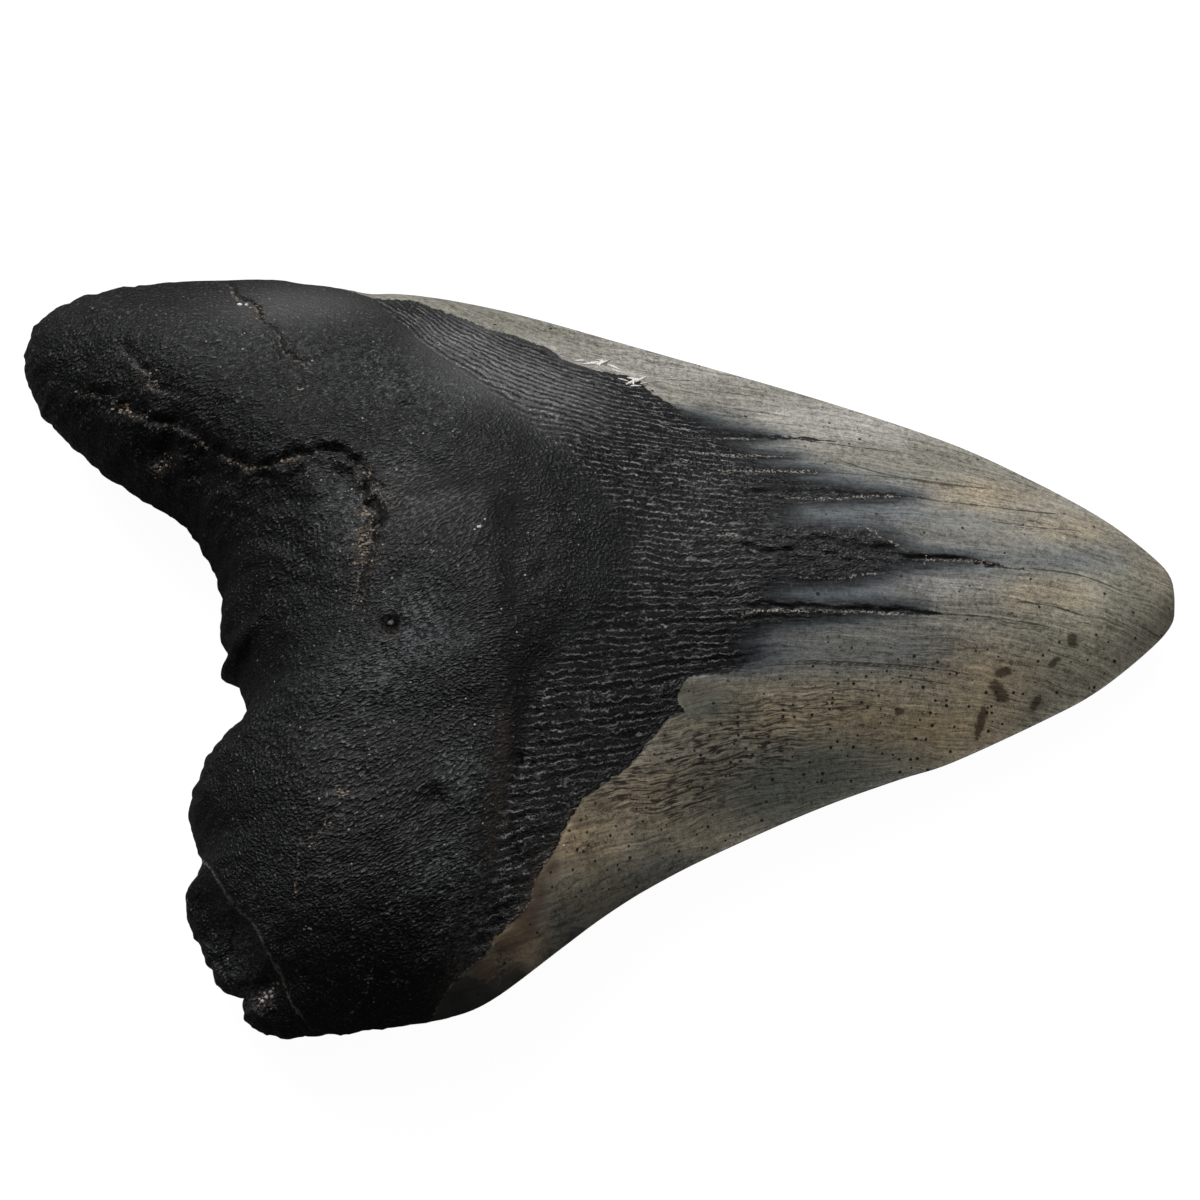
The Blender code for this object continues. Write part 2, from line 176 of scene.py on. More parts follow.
RELIEF_FADE = 4.0
ROOT_STARTS, ROOT_BLEND = 0.5, 0.2
BASE_BENDS = 0.25
CURVE_STEPS = 16
LINE_STEPS = 8
OUTLINE_STEPS = 400
STATION_STEPS = 201
STATION_SMOOTHING = 12
BASE_ROWS = (0.32, 0.25)
CROWDING = (0.2, 0.55)
CROWDING_ZONE = (0.4, 0.3)
RESTING_BAND = 0.03
ROUGH_OUTLINE = 0.32
ROUGH_FROM, ROUGH_BLEND = 0.8, 0.15

# Fine features. From here on, places are in millimetres from the middle of the tooth's box.
FURROW = [
    (-57.8, 30.4), (-55.1, 29.5), (-52.8, 28.3), (-51.4, 26.8), (-48.7, 25.1), (-46.1, 23.8),
    (-42.8, 21.4), (-39.2, 18.2), (-37.3, 17.1), (-32.9, 17.2), (-29.8, 17.6), (-28.1, 17.2),
    (-26.1, 15.4), (-24.8, 13.3), (-23.6, 11.1), (-22.2, 9.0), (-21.8, 8.1),
]
FURROW_BRANCH = [
    (-26.3, 14.9), (-25.6, 12.9), (-25.7, 10.7), (-24.9, 9.1), (-25.1, 7.1), (-25.5, 5.3),
    (-26.0, 3.9), (-26.8, 1.9), (-27.3, -0.3), (-27.7, -3.0),
]
# Cracks in the root: places, half width, depth.
ROOT_CRACKS = [
    (FURROW, 0.34, 1.3),
    (FURROW_BRANCH, 0.45, 0.9),
    ([(-51.6, 35.1), (-50.1, 32.0), (-47.9, 29.2), (-48.0, 28.3), (-46.7, 27.4), (-44, 25.5)],
     0.35, 0.6),
    ([(-40.2, 42.5), (-38.6, 41.2), (-37.9, 39.0), (-35.9, 37.2), (-35.4, 34.8), (-33.6, 32.6),
      (-33.0, 30.2), (-31.2, 28.6), (-30.1, 26.5)], 0.5, 0.9),
    ([(-31.1, -20.4), (-29.9, -22.0), (-32.1, -23.9), (-32.7, -25.4), (-35.1, -26.7), (-35.4, -27.6),
      (-36.0, -30.6), (-36.1, -32.9), (-35.9, -35.0)], 0.3, 0.45),
    ([(-28.6, -39.1), (-29.6, -41.3), (-32.0, -43.1)], 0.9, 0.9),
    ([(-22.5, 4.9), (-20.5, 4.6), (-17.1, 4.4)], 0.25, 0.25),
]
# Fissures in the crown: places, half width, depth.
CROWN_FISSURES = [
    ([(12.7, 5.3), (15.9, 5.0), (16.6, 4.5), (18.6, 4.4), (20.3, 4.6), (21.5, 5.7), (23.3, 5.8),
      (25.7, 5.2), (27.9, 4.7), (30.4, 4.5), (31.7, 4.3), (32.7, 3.5), (35.6, 3.3), (38.7, 3.0),
      (43.5, 2.0), (47.7, 1.2)], 0.22, 0.42),
    ([(11.2, -2.0), (13.9, -1.8), (17.7, -1.8), (21.0, -1.8), (23.7, -2.2), (27.1, -2.2), (30.6, -2.7),
      (34.4, -3.0), (38, -3.3)], 0.22, 0.3),
    ([(13.8, 11.7), (17.4, 11.7), (21.8, 11.8), (26.2, 11.6), (29.1, 11.3), (33.7, 11.0),
      (36.5, 10.6)], 0.2, 0.2),
    ([(5.9, 20.2), (9.7, 19.2), (16.1, 19.4), (21.5, 19.2), (27.6, 18.8)], 0.2, 0.15),
]
PALE_LINES = [
    ([(9.7, 16.6), (15.4, 16.4), (21.5, 16.3)], 1.0),
    ([(12.3, 14.2), (20.3, 14.2), (25.2, 14.2)], 0.9),
    ([(33.0, 2.9), (36.9, 2.9), (40.9, 2.6), (45.1, 2.0), (47.9, 1.6)], 0.6),
    ([(6.3, -10.1), (8.9, -9.6), (15.2, -9.3)], 1.0),
    ([(5.5, 21.3), (9, 19.6), (12, 18.9), (18.5, 18.9)], 0.5),
    ([(19.5, 10.8), (21.7, 10.7), (23.4, 10.6), (25.6, 10.6), (28.4, 10.9), (31.8, 11.0), (34.5, 10.8)],
     1.0),
    ([(11.8, -2.5), (14.9, -2.5), (17.7, -2.3), (20.4, -2.5), (22.8, -2.6), (27.0, -2.7), (34, -3.3)],
     0.9),
    ([(12.5, 6.3), (14.3, 6.1), (16.2, 5.8)], 1.0),
    ([(19.6, 1.3), (22.5, 1.1), (25.1, 1.0), (28.0, 1.3), (30.4, 1.5)], 0.7),
    ([(28.7, 6.9), (29.8, 6.1), (30.5, 5.4)], 1.0),
    ([(31.0, 5.2), (32.2, 4.5)], 1.0),
    ([(11.4, 13.4), (12.3, 12.5)], 0.9),
    ([(27.2, 3.4), (27.9, 3.3), (28.3, 2.7)], 0.9),
    ([(50.5, 2.4), (55, 1.6), (59.6, 0.8), (62.4, -0.5)], 0.45),
]
HAIRLINES = [
    ([(33, 11.1), (38.7, 10.2), (45.5, 9.4)], 0.9),
    ([(34, -3), (40.1, -3.5), (44.3, -4.1), (49.1, -5.0)], 1.0),
    ([(22.6, 18.9), (27.9, 18.2), (35.4, 17.1)], 0.8),
    ([(25.8, 16.3), (31.5, 14.1), (38.0, 12.8), (45.7, 12.0)], 1.0),
    ([(22.1, 14.3), (31.4, 13.7), (39.4, 12.3)], 0.7),
    ([(39.9, 10.0), (47.4, 9.2), (51.7, 9.0)], 1.0),
    ([(42.5, 7.7), (48.4, 6.9), (53.1, 6.7)], 1.0),
    ([(45.8, 1.8), (52.0, 0.8), (57.0, -1.2)], 1.0),
    ([(19.9, -7.6), (29.2, -8.2), (35.6, -9.0), (40.1, -9.8)], 0.9),
    ([(19.7, -9.7), (26.8, -9.9)], 0.7),
    ([(31.0, -9.6), (36.6, -10.5)], 0.8),
    ([(6.7, -13.0), (13.3, -12.7), (19.5, -12.5), (24.6, -12.4), (28.8, -12.2)], 0.9),
    ([(6.7, 27.2), (12.5, 25.8)], 0.6),
    ([(12.5, 24.2), (19.7, 23.0)], 0.5),
    ([(7.7, 28.2), (14, 27.8), (20, 26.6)], 0.7),
    ([(11.3, 26.9), (19.1, 25.6)], 0.5),
    ([(32.9, 13.8), (37.6, 13.0), (45.4, 12.0)], 0.6),
    ([(44.2, -1.9), (48.7, -2.7), (52.5, -3.9)], 1.0),
    ([(30, 21), (37, 18.9), (43, 16.9)], 0.3),
    ([(15, -8.1), (20, -8.0), (25.5, -8.2), (33.9, -9.1)], 0.6),
    ([(8, -15.3), (14, -14.6), (21, -14.2)], 0.5),
]
# The edge of the black, from far to near: crisp along the arms, feathered in the middle.
BLACK_EDGE = [
    (-38, 54.3), (-31, 45.3), (-26.5, 40.4), (-22, 38.4), (-18.6, 37.9), (-16.4, 36.7), (-13.5, 35.5),
    (-10.7, 34.0), (-8.2, 33.4), (-5.8, 32.5), (-4.3, 31.9), (-2.9, 30.4), (-0.9, 29.5), (2.0, 28.8),
    (5.2, 28.0), (6.6, 25.9), (10.7, 22.6), (13.9, 20.7), (18.6, 19.3), (15.6, 18.3), (15.9, 17.1),
    (20.6, 16.3), (18.0, 15.4), (23.4, 14.3), (22.0, 13.4), (25.2, 12.6), (29.0, 11.7), (33.5, 11.1),
    (28.5, 10.2), (21.6, 9.8), (20.5, 9.0), (20.6, 7.9), (22.0, 7.5), (28.6, 6.8), (31.4, 5.2),
    (32.7, 4.2), (35.4, 3.5), (39.3, 2.9), (35.3, 2.4), (31.9, 2.0), (29.6, 1.3), (25.6, 0.5),
    (20.7, 0.3), (17.8, -0.3), (20.5, -1.5), (32.0, -2.4), (23.6, -3.2), (17.0, -3.9), (14.1, -5.4),
    (14.7, -6.9), (12.7, -8.7), (8.9, -8.9), (7.0, -9.8), (6.0, -11.4), (6.8, -12.6), (5.1, -13.3),
    (2.6, -15.9), (-0.1, -18.7), (-3.3, -20.9), (-5.8, -23.1), (-8.9, -28.1), (-10.7, -30.4),
    (-11.8, -33.1), (-13.3, -34.7), (-15.9, -36.6), (-16.9, -37.9), (-22.2, -42.0), (-29, -50),
]
SOFT_BLACK = (-9.8, 25)         # between these two heights on the plan it is feathered
SOFT_FADE = 3.0
BLACK_STRETCH = 2.6             # the feathering runs this much further along the tooth than across
BLACK_CLOSES = [(-90, -50), (-90, 54)]          # closes the black beyond the root
LABIAL_BLACK, LABIAL_SOFTNESS = 4.0, 0.25       # its bourlette's width, and how feathered it is
# Fine unevenness in layers: share, size across and along in millimetres, seed.
GRAIN_WOBBLE = ((0.45, 3.0, 4.0, 2.5), (0.16, 0.9, 1.4, 8.5))
RAGGED_SIDES = ((1.0, 1.3, 1.3, 9.5), (0.5, 0.7, 0.7, 4.5))
ROOT_GRAIN = ((1.0, 0.7, 0.95, 1.5), (0.8, 1.9, 2.4, 3.5))
RUBBLE, RUBBLE_HEIGHT = ((1.0, 0.6, 1.1, 6.5), (0.5, 0.35, 0.7, 2.5)), 0.4
WRINKLE_BREAKS, WRINKLES_KEPT = ((0.5, 1.2, 3.5, 5.5),), 0.75
SMOOTHED = 0.85                 # how much of the grain the smooth patches lose
# The wrinkles of the bourlette start later in its middle, and thin out towards the tip.
WRINKLE_START, WRINKLE_LATER = 0.6, (3.5, 4.0)
WRINKLE_MIDDLE = (4, 12)
WRINKLE_FADE = 1.2
WRINKLE_THINS, WRINKLE_THINNING = (12, 9), 0.8
# Lines that the grain of the tooth follows, from far to near, and where their spacing is read.
GRAIN_READ_AT = 10
GRAIN_LINES = [
    [(-66, 33), (-50, 46), (-35, 56), (-25, 52), (-17, 40.5), (-10, 34.8), (0, 31.2), (10, 29), (20, 27),
     (30, 24.5), (40, 21), (50, 16), (64, 9)],
    [(-66, 12), (-55, 23), (-45, 31), (-36, 37), (-28, 39), (-22, 35.8), (-15, 28), (-8, 23), (0, 20.8),
     (10, 19.5), (20, 18.4), (28, 17.2), (40, 14.6), (50, 11.5), (64, 6.2)],
    [(-66, -12), (-50, -8), (-42, 0), (-33, 11), (-25, 15.8), (-15, 15.2), (-8, 13.8), (0, 12.6),
     (13, 11.4), (25, 10.5), (35, 9.9), (45, 8.6), (52, 7), (64, 3)],
    [(-66, -18), (-45, -8), (-35, 2), (-27, 6.5), (-18, 6.8), (-8, 6.2), (0, 5.7), (13, 5.2), (25, 5.2),
     (35, 3.5), (45, 1.8), (55, -0.5), (64, -3.6)],
    [(-66, -22), (-42, -12), (-35, -7), (-25, -4), (-10, -4), (0, -3.2), (11, -2.6), (19, -2.3),
     (26, -2.5), (34, -3.4), (44, -4.5), (53, -6.6), (64, -10.5)],
    [(-66, -24), (-50, -18), (-40, -15), (-25, -12), (-10, -12), (0, -11), (8, -9.2), (15, -8.4),
     (20, -8.2), (30, -9), (40, -10.3), (50, -12.6), (64, -17.5)],
    [(-66, -30), (-50, -27), (-35, -27), (-20, -26), (-10, -25), (-3, -23), (5, -20.8), (12, -19.3),
     (20, -18.3), (28, -18), (36, -18.4), (45, -20), (64, -28)],
    [(-66, -48), (-50, -47), (-30, -46), (-15, -43), (-5, -37), (8, -30), (20, -26), (35, -24.5),
     (64, -36)],
]
# Soft stains of the enamel and the root, and patches of painted sheen and glints among them: centre, half
# widths, strength, as x, y, wide, high, strength.
STAINS = {
    "brown": [
        (-6, -27, 5, 6, 0.9), (4, -21, 9, 5, 0.55), (14, -12.5, 11, 3, 0.5), (28, -14.5, 10, 3.5, 0.55),
        (41, -9.5, 7, 4, 0.6), (42, 11.5, 8, 2.5, 0.45), (61, -1, 3.5, 6, 0.5), (47, -1, 6, 2.5, 0.35),
        (52, 7, 5, 2.5, 0.35), (-14, -37, 4, 4, 0.9), (35, -15.5, 8, 3, 0.5), (-13, -24, 1.5, 9, 0.35),
    ],
    "blue": [
        (12, 23, 6, 1.6, 0.45), (27, 8.8, 9, 1.6, 1.0), (25, -0.9, 7, 1.7, 1.0), (18, -6, 9, 3.2, 0.5),
        (12, -11, 5, 1.4, 0.6), (25, 13.2, 9, 1.8, 0.7), (13, -7.5, 5, 1.8, 0.9), (37, 7, 8, 3, 0.3),
        (43, 2, 10, 2.5, 0.5), (52, 2.5, 6, 2, 0.5), (35, -7, 9, 2.5, 0.5), (0, -27.5, 8, 2.5, 0.5),
        (-8, -34, 6, 2.5, 0.5),
    ],
    "olive": [
        (52, -6, 9, 6, 0.8), (36, -13.5, 12, 4, 0.7), (15, -12, 12, 3, 0.4), (27, -14.5, 8, 3, 0.5),
        (5, -25, 10, 3, 0.5),
    ],
    "green": [
        (60, -2, 5, 7, 0.5), (17, -20.5, 9, 3, 1.0), (25, -17.5, 8, 3, 0.7), (50, -9, 8, 4, 0.15),
        (-4, -31, 6, 3, 0.5), (9, -12.2, 5, 1.6, 0.9),
    ],
    "pale": [
        (5, 30, 16, 4, 0.7), (30, 22, 14, 3.5, 0.8), (50, 11, 8, 3, 0.3), (37, -0.2, 7, 1.6, 0.9),
        (34, -11.5, 4, 1.5, 0.6), (3, -17, 4, 1.6, 0.4), (44, -6.5, 5, 2, 0.4),
    ],
    "streaky": [
        (3, -20.5, 9, 4, 1.0), (13, -16, 9, 3, 0.9), (22, -12, 12, 2.5, 0.6), (15, 21, 8, 3, 0.3),
    ],
    "porous": [
        (8, -24, 16, 6, 1.0), (24, -17, 16, 6, 1.0), (36, -13, 12, 5, 0.8), (50, -6, 8, 5, 0.35),
        (-8, -31, 6, 6, 0.6), (30, -9, 14, 4, 0.4),
    ],
    "rough": [
        (22, 5.2, 7, 2.0, 1.0), (27, 3.6, 5, 2.2, 0.9), (17, 4.5, 4, 2.4, 0.7), (20, -2.2, 9, 0.6, 1.0),
        (28, -2.5, 4, 0.45, 0.9), (20, 11.2, 6, 0.9, 0.9), (27, 11.2, 5, 0.6, 1.0),
        (13, 19.2, 7, 0.7, 0.8), (16, 11.5, 4, 0.7, 0.8), (34, 3.3, 4, 0.5, 0.7), (14, -9.2, 4, 0.5, 0.5),
        (12.2, 13.0, 1.2, 0.9, 0.8), (-18.2, -38.2, 3.0, 1.4, 0.8), (-38, -36, 6, 6, 0.3),
    ],
    "smooth": [
        (-17.5, 11.5, 8, 5, 0.9), (-10, 6, 4, 9, 0.65), (-25, 8, 1.6, 3, 0.6), (-12, -30, 1.5, 4, 0.5),
        (12.5, -7.3, 3.4, 1.0, 0.8), (15.5, 9.2, 3.2, 0.9, 0.8),
    ],
    "ruddy": [
        (-9.0, -28.7, 1.1, 2.4, 0.7), (-10.9, -31.6, 1.2, 2.2, 0.9), (-12.4, -34.6, 1.4, 1.8, 1.0),
        (-14.6, -37.0, 1.8, 1.3, 0.9), (-17.2, -39.4, 2.2, 1.2, 0.9), (-20.6, -41.6, 2.0, 1.0, 0.6),
        (-13.0, -16.5, 0.8, 3.4, 0.5), (-14.0, -22.0, 0.8, 4.0, 0.55), (-15.2, -27.0, 0.8, 3.5, 0.5),
        (-3.5, -22.5, 1.2, 1.0, 0.5), (-5.8, -24.6, 1.2, 1.2, 0.6),
    ],
    "tail": [
        (-13.6, -39.6, 2.6, 1.5, 0.7), (-17.5, -42.0, 3.2, 1.6, 0.95), (-22.0, -43.0, 3.2, 1.8, 1.0),
        (8.0, -10.4, 4, 1.2, 0.45), (-16.3, -37.4, 1.8, 0.9, 0.5), (-19.6, -40.6, 1.6, 1.0, 0.6),
    ],
    "sandy": [
        (-51.8, 27.1, 1.2, 1.0, 0.9), (-49.2, 25.3, 0.8, 0.7, 0.7), (-37.8, 17.1, 1.1, 0.6, 0.8),
        (-33.7, 17.0, 2.2, 0.5, 0.7), (-25.5, 14.1, 0.9, 0.8, 0.7), (-25.7, 9.4, 0.8, 1.6, 0.6),
        (-26.2, 5.4, 1.2, 2.8, 1.0), (-26.9, 1.0, 0.6, 1.5, 0.5), (-23.6, 11.2, 1.0, 1.6, 0.4),
        (-35.6, 35.8, 1.2, 1.8, 0.6), (-31.9, 29.0, 0.6, 1.4, 0.5), (-48.6, 29.6, 1.0, 1.6, 0.4),
        (-47.5, 20.6, 1.3, 0.9, 0.7), (-30.6, -21.4, 0.8, 1.0, 0.5), (-24.4, -4.0, 1.2, 1.0, 0.6),
        (-41, -40, 1.6, 1.2, 0.5), (-20.3, -39.6, 0.7, 1.1, 0.9), (-20.0, -41.0, 0.5, 0.7, 0.6),
    ],
    # Painted sheen: grey where the key light reflects off the far arm of the bourlette and the far lobe.
    "sheen": [
        (-8, 26.5, 7, 4.5, 1.0), (-14, 32, 5, 3.5, 0.8), (-3, 22, 5, 4, 0.5), (-31, 37, 9, 4, 0.4),
    ],
    # Patches of dust and painted sheen: light grey mottling, with more painted glints.
    "dusty": [
        (-21.5, -2.5, 3.4, 4.0, 1.0), (-24.5, -8, 4.5, 3.5, 0.8), (-18, -6, 4, 3, 0.55),
        (-30, -9, 6, 5, 0.35), (-16, 24, 9, 5, 0.45), (-17.5, -20, 3.5, 3.2, 0.7),
        (-22.5, -29.5, 2.8, 2.6, 0.8), (-17, -31, 3, 5, 0.55), (-18, -36.5, 4, 3, 0.5),
        (-28, 9, 3, 6, 0.6), (-43.5, -37, 3, 6, 0.6), (-22, 15, 4, 3, 0.3), (-27, 27, 9, 5, 0.35),
        (-36, 33, 10, 5, 0.35),
    ],
}
UNDRAWN = 9.0                   # the distance held where no line is near
LINE_REACH, LINE_TAPERS = 4.0, (0.12, 0.2)
# The lines that the finish paints: name, lines with their strengths, how wide the strength reaches.
DRAWN_LINES = (
    ("crack", [(points, 1.0) for points, _, _ in ROOT_CRACKS], 1.2),
    ("fissure", [(points, 1.0) for points, _, _ in CROWN_FISSURES], 0.9),
    ("pale_line", PALE_LINES, 0.5), ("hairline", HAIRLINES, 0.4), ("ledge", [(LEDGE_LINE, 1.0)], 1.0),
)
# Long brown spots: centre, half widths, angle in degrees.
SPOTS = [
    ((41.7, -11.2), (0.75, 1.35), 40), ((39.5, -14.1), (0.5, 1.9), -22),
    ((45.8, -12.3), (0.45, 1.0), -35), ((50.4, -6.2), (0.6, 0.8), 0), ((48.2, -8.3), (0.8, 0.35), 40),
    ((30.5, -13.0), (0.5, 0.4), 0), ((42.3, -9.3), (1.0, 0.5), 10),
]

GRAINS_SEED = 11
# Crumbs of sediment: two ends of a streak, how many, how far they scatter, size.
GRAIN_PLACES = [
    ((-57.5, 30.2), (-53.0, 28.4), 14, 0.08, 0.1), ((-52.6, 27.8), (-51.0, 26.3), 16, 0.35, 0.22),
    ((-49.8, 25.8), (-48.6, 24.8), 8, 0.25, 0.18), ((-48.5, 24.6), (-39.5, 18.0), 16, 0.25, 0.12),
    ((-38.6, 17.3), (-37.0, 16.9), 10, 0.22, 0.17), ((-35.2, 16.8), (-32.0, 17.1), 16, 0.22, 0.17),
    ((-31.5, 17.1), (-27.0, 16.0), 10, 0.3, 0.12), ((-26.0, 14.6), (-25.0, 13.6), 8, 0.25, 0.2),
    ((-24.6, 12.4), (-22.4, 9.0), 10, 0.4, 0.12), ((-25.9, 10.6), (-25.4, 8.4), 14, 0.4, 0.18),
    ((-25.9, 7.4), (-26.6, 3.4), 60, 0.6, 0.19), ((-26.9, 1.6), (-27.5, -0.6), 8, 0.3, 0.15),
    ((34.6, 3.1), (41.4, 2.6), 60, 0.16, 0.13), ((-36.8, 37.6), (-34.4, 34.2), 16, 0.3, 0.18),
    ((-33.0, 31.6), (-31.2, 27.6), 10, 0.25, 0.13), ((-49.8, 31.2), (-47.4, 28.0), 14, 0.25, 0.13),
    ((-31.0, -20.6), (-30.2, -22.0), 8, 0.3, 0.2), ((-31.8, -24.0), (-35.0, -27.0), 12, 0.25, 0.15),
    ((-35.9, -34.6), (-35.4, -34.9), 6, 0.2, 0.22), ((-41.6, -40.3), (-39.8, -39.2), 12, 0.3, 0.2),
    ((-48.4, 20.0), (-46.8, 21.3), 14, 0.4, 0.2), ((-32.1, 24.7), (-31.7, 24.9), 4, 0.1, 0.22),
]
# White mineral grains: place, size.
CRYSTALS = [
    ((-37.9, 37.3), 0.34), ((-37.2, 37.25), 0.3), ((-24.2, -3.1), 0.36), ((-41.2, -40.1), 0.26),
    ((-40.7, -39.8), 0.34), ((-40.3, -39.4), 0.28), ((-40.9, -39.3), 0.22), ((-40.1, -39.9), 0.2),
    ((-41.5, -39.8), 0.16), ((-39.9, -39.1), 0.15), ((-13.8, 6.5), 0.2),
    ((-14.3, 6.2), 0.14), ((-13.1, 7.4), 0.12), ((-7.6, -27.2), 0.1),
]
# Splinters of enamel: start, end, thickness.
CHIPS = [
    ((-0.6, 29.8), (1.3, 30.2), 0.08), ((1.0, 29.9), (2.6, 31.1), 0.06), ((1.5, 30.4), (0.0, 30.1), 0.09),
    ((2.2, 30.2), (3.6, 29.4), 0.06), ((1.7, 31.0), (1.2, 29.7), 0.06), ((2.0, 30.7), (0.9, 30.9), 0.05),
    ((4.0, 27.0), (5.4, 28.0), 0.08), ((5.1, 27.5), (6.4, 28.5), 0.07), ((4.5, 26.8), (5.7, 26.9), 0.09),
    ((5.6, 27.2), (6.5, 27.5), 0.07), ((3.2, 27.9), (4.4, 27.5), 0.05), ((4.2, 28.1), (5.9, 27.8), 0.06),
    ((2.6, 29.3), (3.9, 28.9), 0.05), ((4.8, 27.0), (4.9, 28.2), 0.06),
    ((-1.4, 30.2), (-0.2, 30.5), 0.05),
]

# Shares of a loose grain's size: its length, width and height, and how uneven its corners are.
CRUMB_LENGTHS, CRUMB_WIDTHS, CRUMB_CORNERS = (0.7, 1.5), (0.6, 1.1), (0.75, 1.2)
SEDIMENT_FLATNESS, MINERAL_FLATNESS = 0.6, 0.7
SEDIMENT_SIZES = (0.3, 1.1)
# Splinters lie this far above their ends, in millimetres, and are this much thinner at one end.
SPLINTER_LIFT, SPLINTER_POINT = 0.08, 0.3

# The camera, fitted to the outline in the photo, in metres.
CAMERA_HEIGHT_ANGLE = math.radians(72.0)
CAMERA_TURN = math.radians(-5.0)
CAMERA_DISTANCE = 0.7
CAMERA_LOOKS_AT = Vector((-0.00099, 0.00341, 0.008))
HALF_VIEW = 0.0663
SENSOR = 36.0
# The soft lights: name, place, size, which power, share of it.
LIGHTS = (
    ("key", (-0.10, 0.52, 0.46), (0.8, 0.35), "key_power", 1.0),
    ("top", (0.0, 0.30, 0.90), (0.8, 0.4), "top_power", 1.0),
    ("tip_side", (0.75, -0.05, 0.5), (0.5, 0.5), "side_power", 1.0),
    ("root_side", (-0.75, 0.15, 0.35), (0.5, 0.5), "side_power", 0.2),
)

# Tints of small marks, some of them painted light: sheen, glints, highlights and shade. The larger
# colours are in FossilColours.
SMOKE = (0.018, 0.021, 0.024)           # on the enamel, right beside the feathered black
TAIL_BLACK = (0.022, 0.022, 0.023)
SPOT_BROWN = (0.050, 0.035, 0.024)
PORE_BROWN = (0.022, 0.018, 0.015)
SHEEN_GREY = (0.20, 0.20, 0.204)
RUDDY_BLACK = (0.060, 0.046, 0.033)
DUST_AND_SHEEN_GREY = (0.085, 0.088, 0.091)
RUBBLE_BLACK = (0.006, 0.006, 0.0065)
FLAKE_AND_GLINT_GREY = (0.15, 0.15, 0.148)
GRIT_AND_GLINT_GREY = (0.17, 0.175, 0.18)
GRIT_AND_GLINT_PALE = (0.45, 0.43, 0.40)
GROOVE_SHADE = (0.0025, 0.0025, 0.003)
FISSURE_BLACK = (0.004, 0.004, 0.0045)
PALE_CRUMBS = (0.37, 0.33, 0.28)
CRACK_SHADE = (0.006, 0.005, 0.005)
LEDGE_RIM_HIGHLIGHT = (0.19, 0.193, 0.197)
SEDIMENT_DIRT = (0.03, 0.024, 0.02)
MINERAL_DIRT = (0.3, 0.28, 0.25)
SPLINTER_DIRT = (0.62, 0.59, 0.54)


class ToothSizes(bpy.types.PropertyGroup):
    columns: IntProperty(
        name="Columns", description="Quads across the tooth on its lingual face", default=330,
        min=40, max=440)
    rows: IntProperty(
        name="Rows", description="Quads along the tooth on its lingual face", default=230,
        min=40, max=260)
    triangles: IntProperty(
        name="Triangles", description="Triangles that the whole tooth keeps", default=196000, min=20000,
        max=199000)
    wrinkle_gap: FloatProperty(
        name="Wrinkle gap", description="Distance between two wrinkles of the bourlette",
        default=0.00070, min=0.0003, unit="LENGTH")
    wrinkle_height: FloatProperty(
        name="Wrinkle height", description="Height of the bourlette's wrinkles",
        default=0.000045, min=0.0, unit="LENGTH")
    root_grain: FloatProperty(
        name="Root grain", description="Height of the fine roughness of the root",
        default=0.00014, min=0.0, unit="LENGTH")


def swatch(name, description, default):
    """A colour that a user can change."""
    return FloatVectorProperty(name=name, description=description, subtype="COLOR", default=default,
                               min=0, max=1)


class FossilColours(bpy.types.PropertyGroup):
    root: swatch("Root", "Black of the root", (0.0028, 0.0030, 0.0034))
    bourlette: swatch("Bourlette", "Black of the bourlette", (0.0042, 0.0046, 0.0053))
    # Painted grey on the wrinkles' crests, partly as wear and partly as painted highlight.
    crest_wear_and_glint: swatch("Crest", "Worn grey on the crests of the wrinkles", (0.30, 0.30, 0.302))
    # Painted glints: grey laid on the peaks of the root's grain, standing for glints of the key light as
    # well as wear.
    worn: swatch("Worn grain", "Grey where the grain of the root is rubbed", (0.115, 0.118, 0.124))
    enamel: swatch("Enamel", "Taupe of the crown", (0.226, 0.214, 0.181))
    pale: swatch("Pale enamel", "Beige of the far edge", (0.335, 0.322, 0.295))
    blue: swatch("Blue enamel", "Blue-grey beside the black", (0.122, 0.139, 0.148))
    brown: swatch("Brown enamel", "Warm brown stains", (0.400, 0.312, 0.198))
    ruddy: swatch("Ruddy enamel", "Red-brown fringe of the enamel", (0.105, 0.066, 0.042))
    olive: swatch("Olive enamel", "Yellow-grey of the lower crown", (0.380, 0.352, 0.260))
    green: swatch("Green enamel", "Grey-green of the near hollow", (0.158, 0.166, 0.138))
    sediment: swatch("Sediment", "Tan sediment in the cracks", (0.33, 0.26, 0.195))
    mineral: swatch("Mineral", "White mineral grains and splinters", (0.88, 0.86, 0.82))


class StudioLights(bpy.types.PropertyGroup):
    key_power: FloatProperty(
        name="Key power", description="Power of the large soft light on the far side", default=5.9,
        min=0, unit="POWER")
    top_power: FloatProperty(
        name="Top power", description="Power of the soft light overhead", default=1.3, min=0,
        unit="POWER")
    side_power: FloatProperty(
        name="Side power", description="Power of the soft light at the tip's side", default=1.2, min=0,
        unit="POWER")
    surround: FloatProperty(
        name="Surround", description="Brightness of the room around the tooth", default=0.03, min=0)
    floor_glow: FloatProperty(
        name="Floor glow", description="Light that the pale floor gives off itself", default=0.965, min=0)


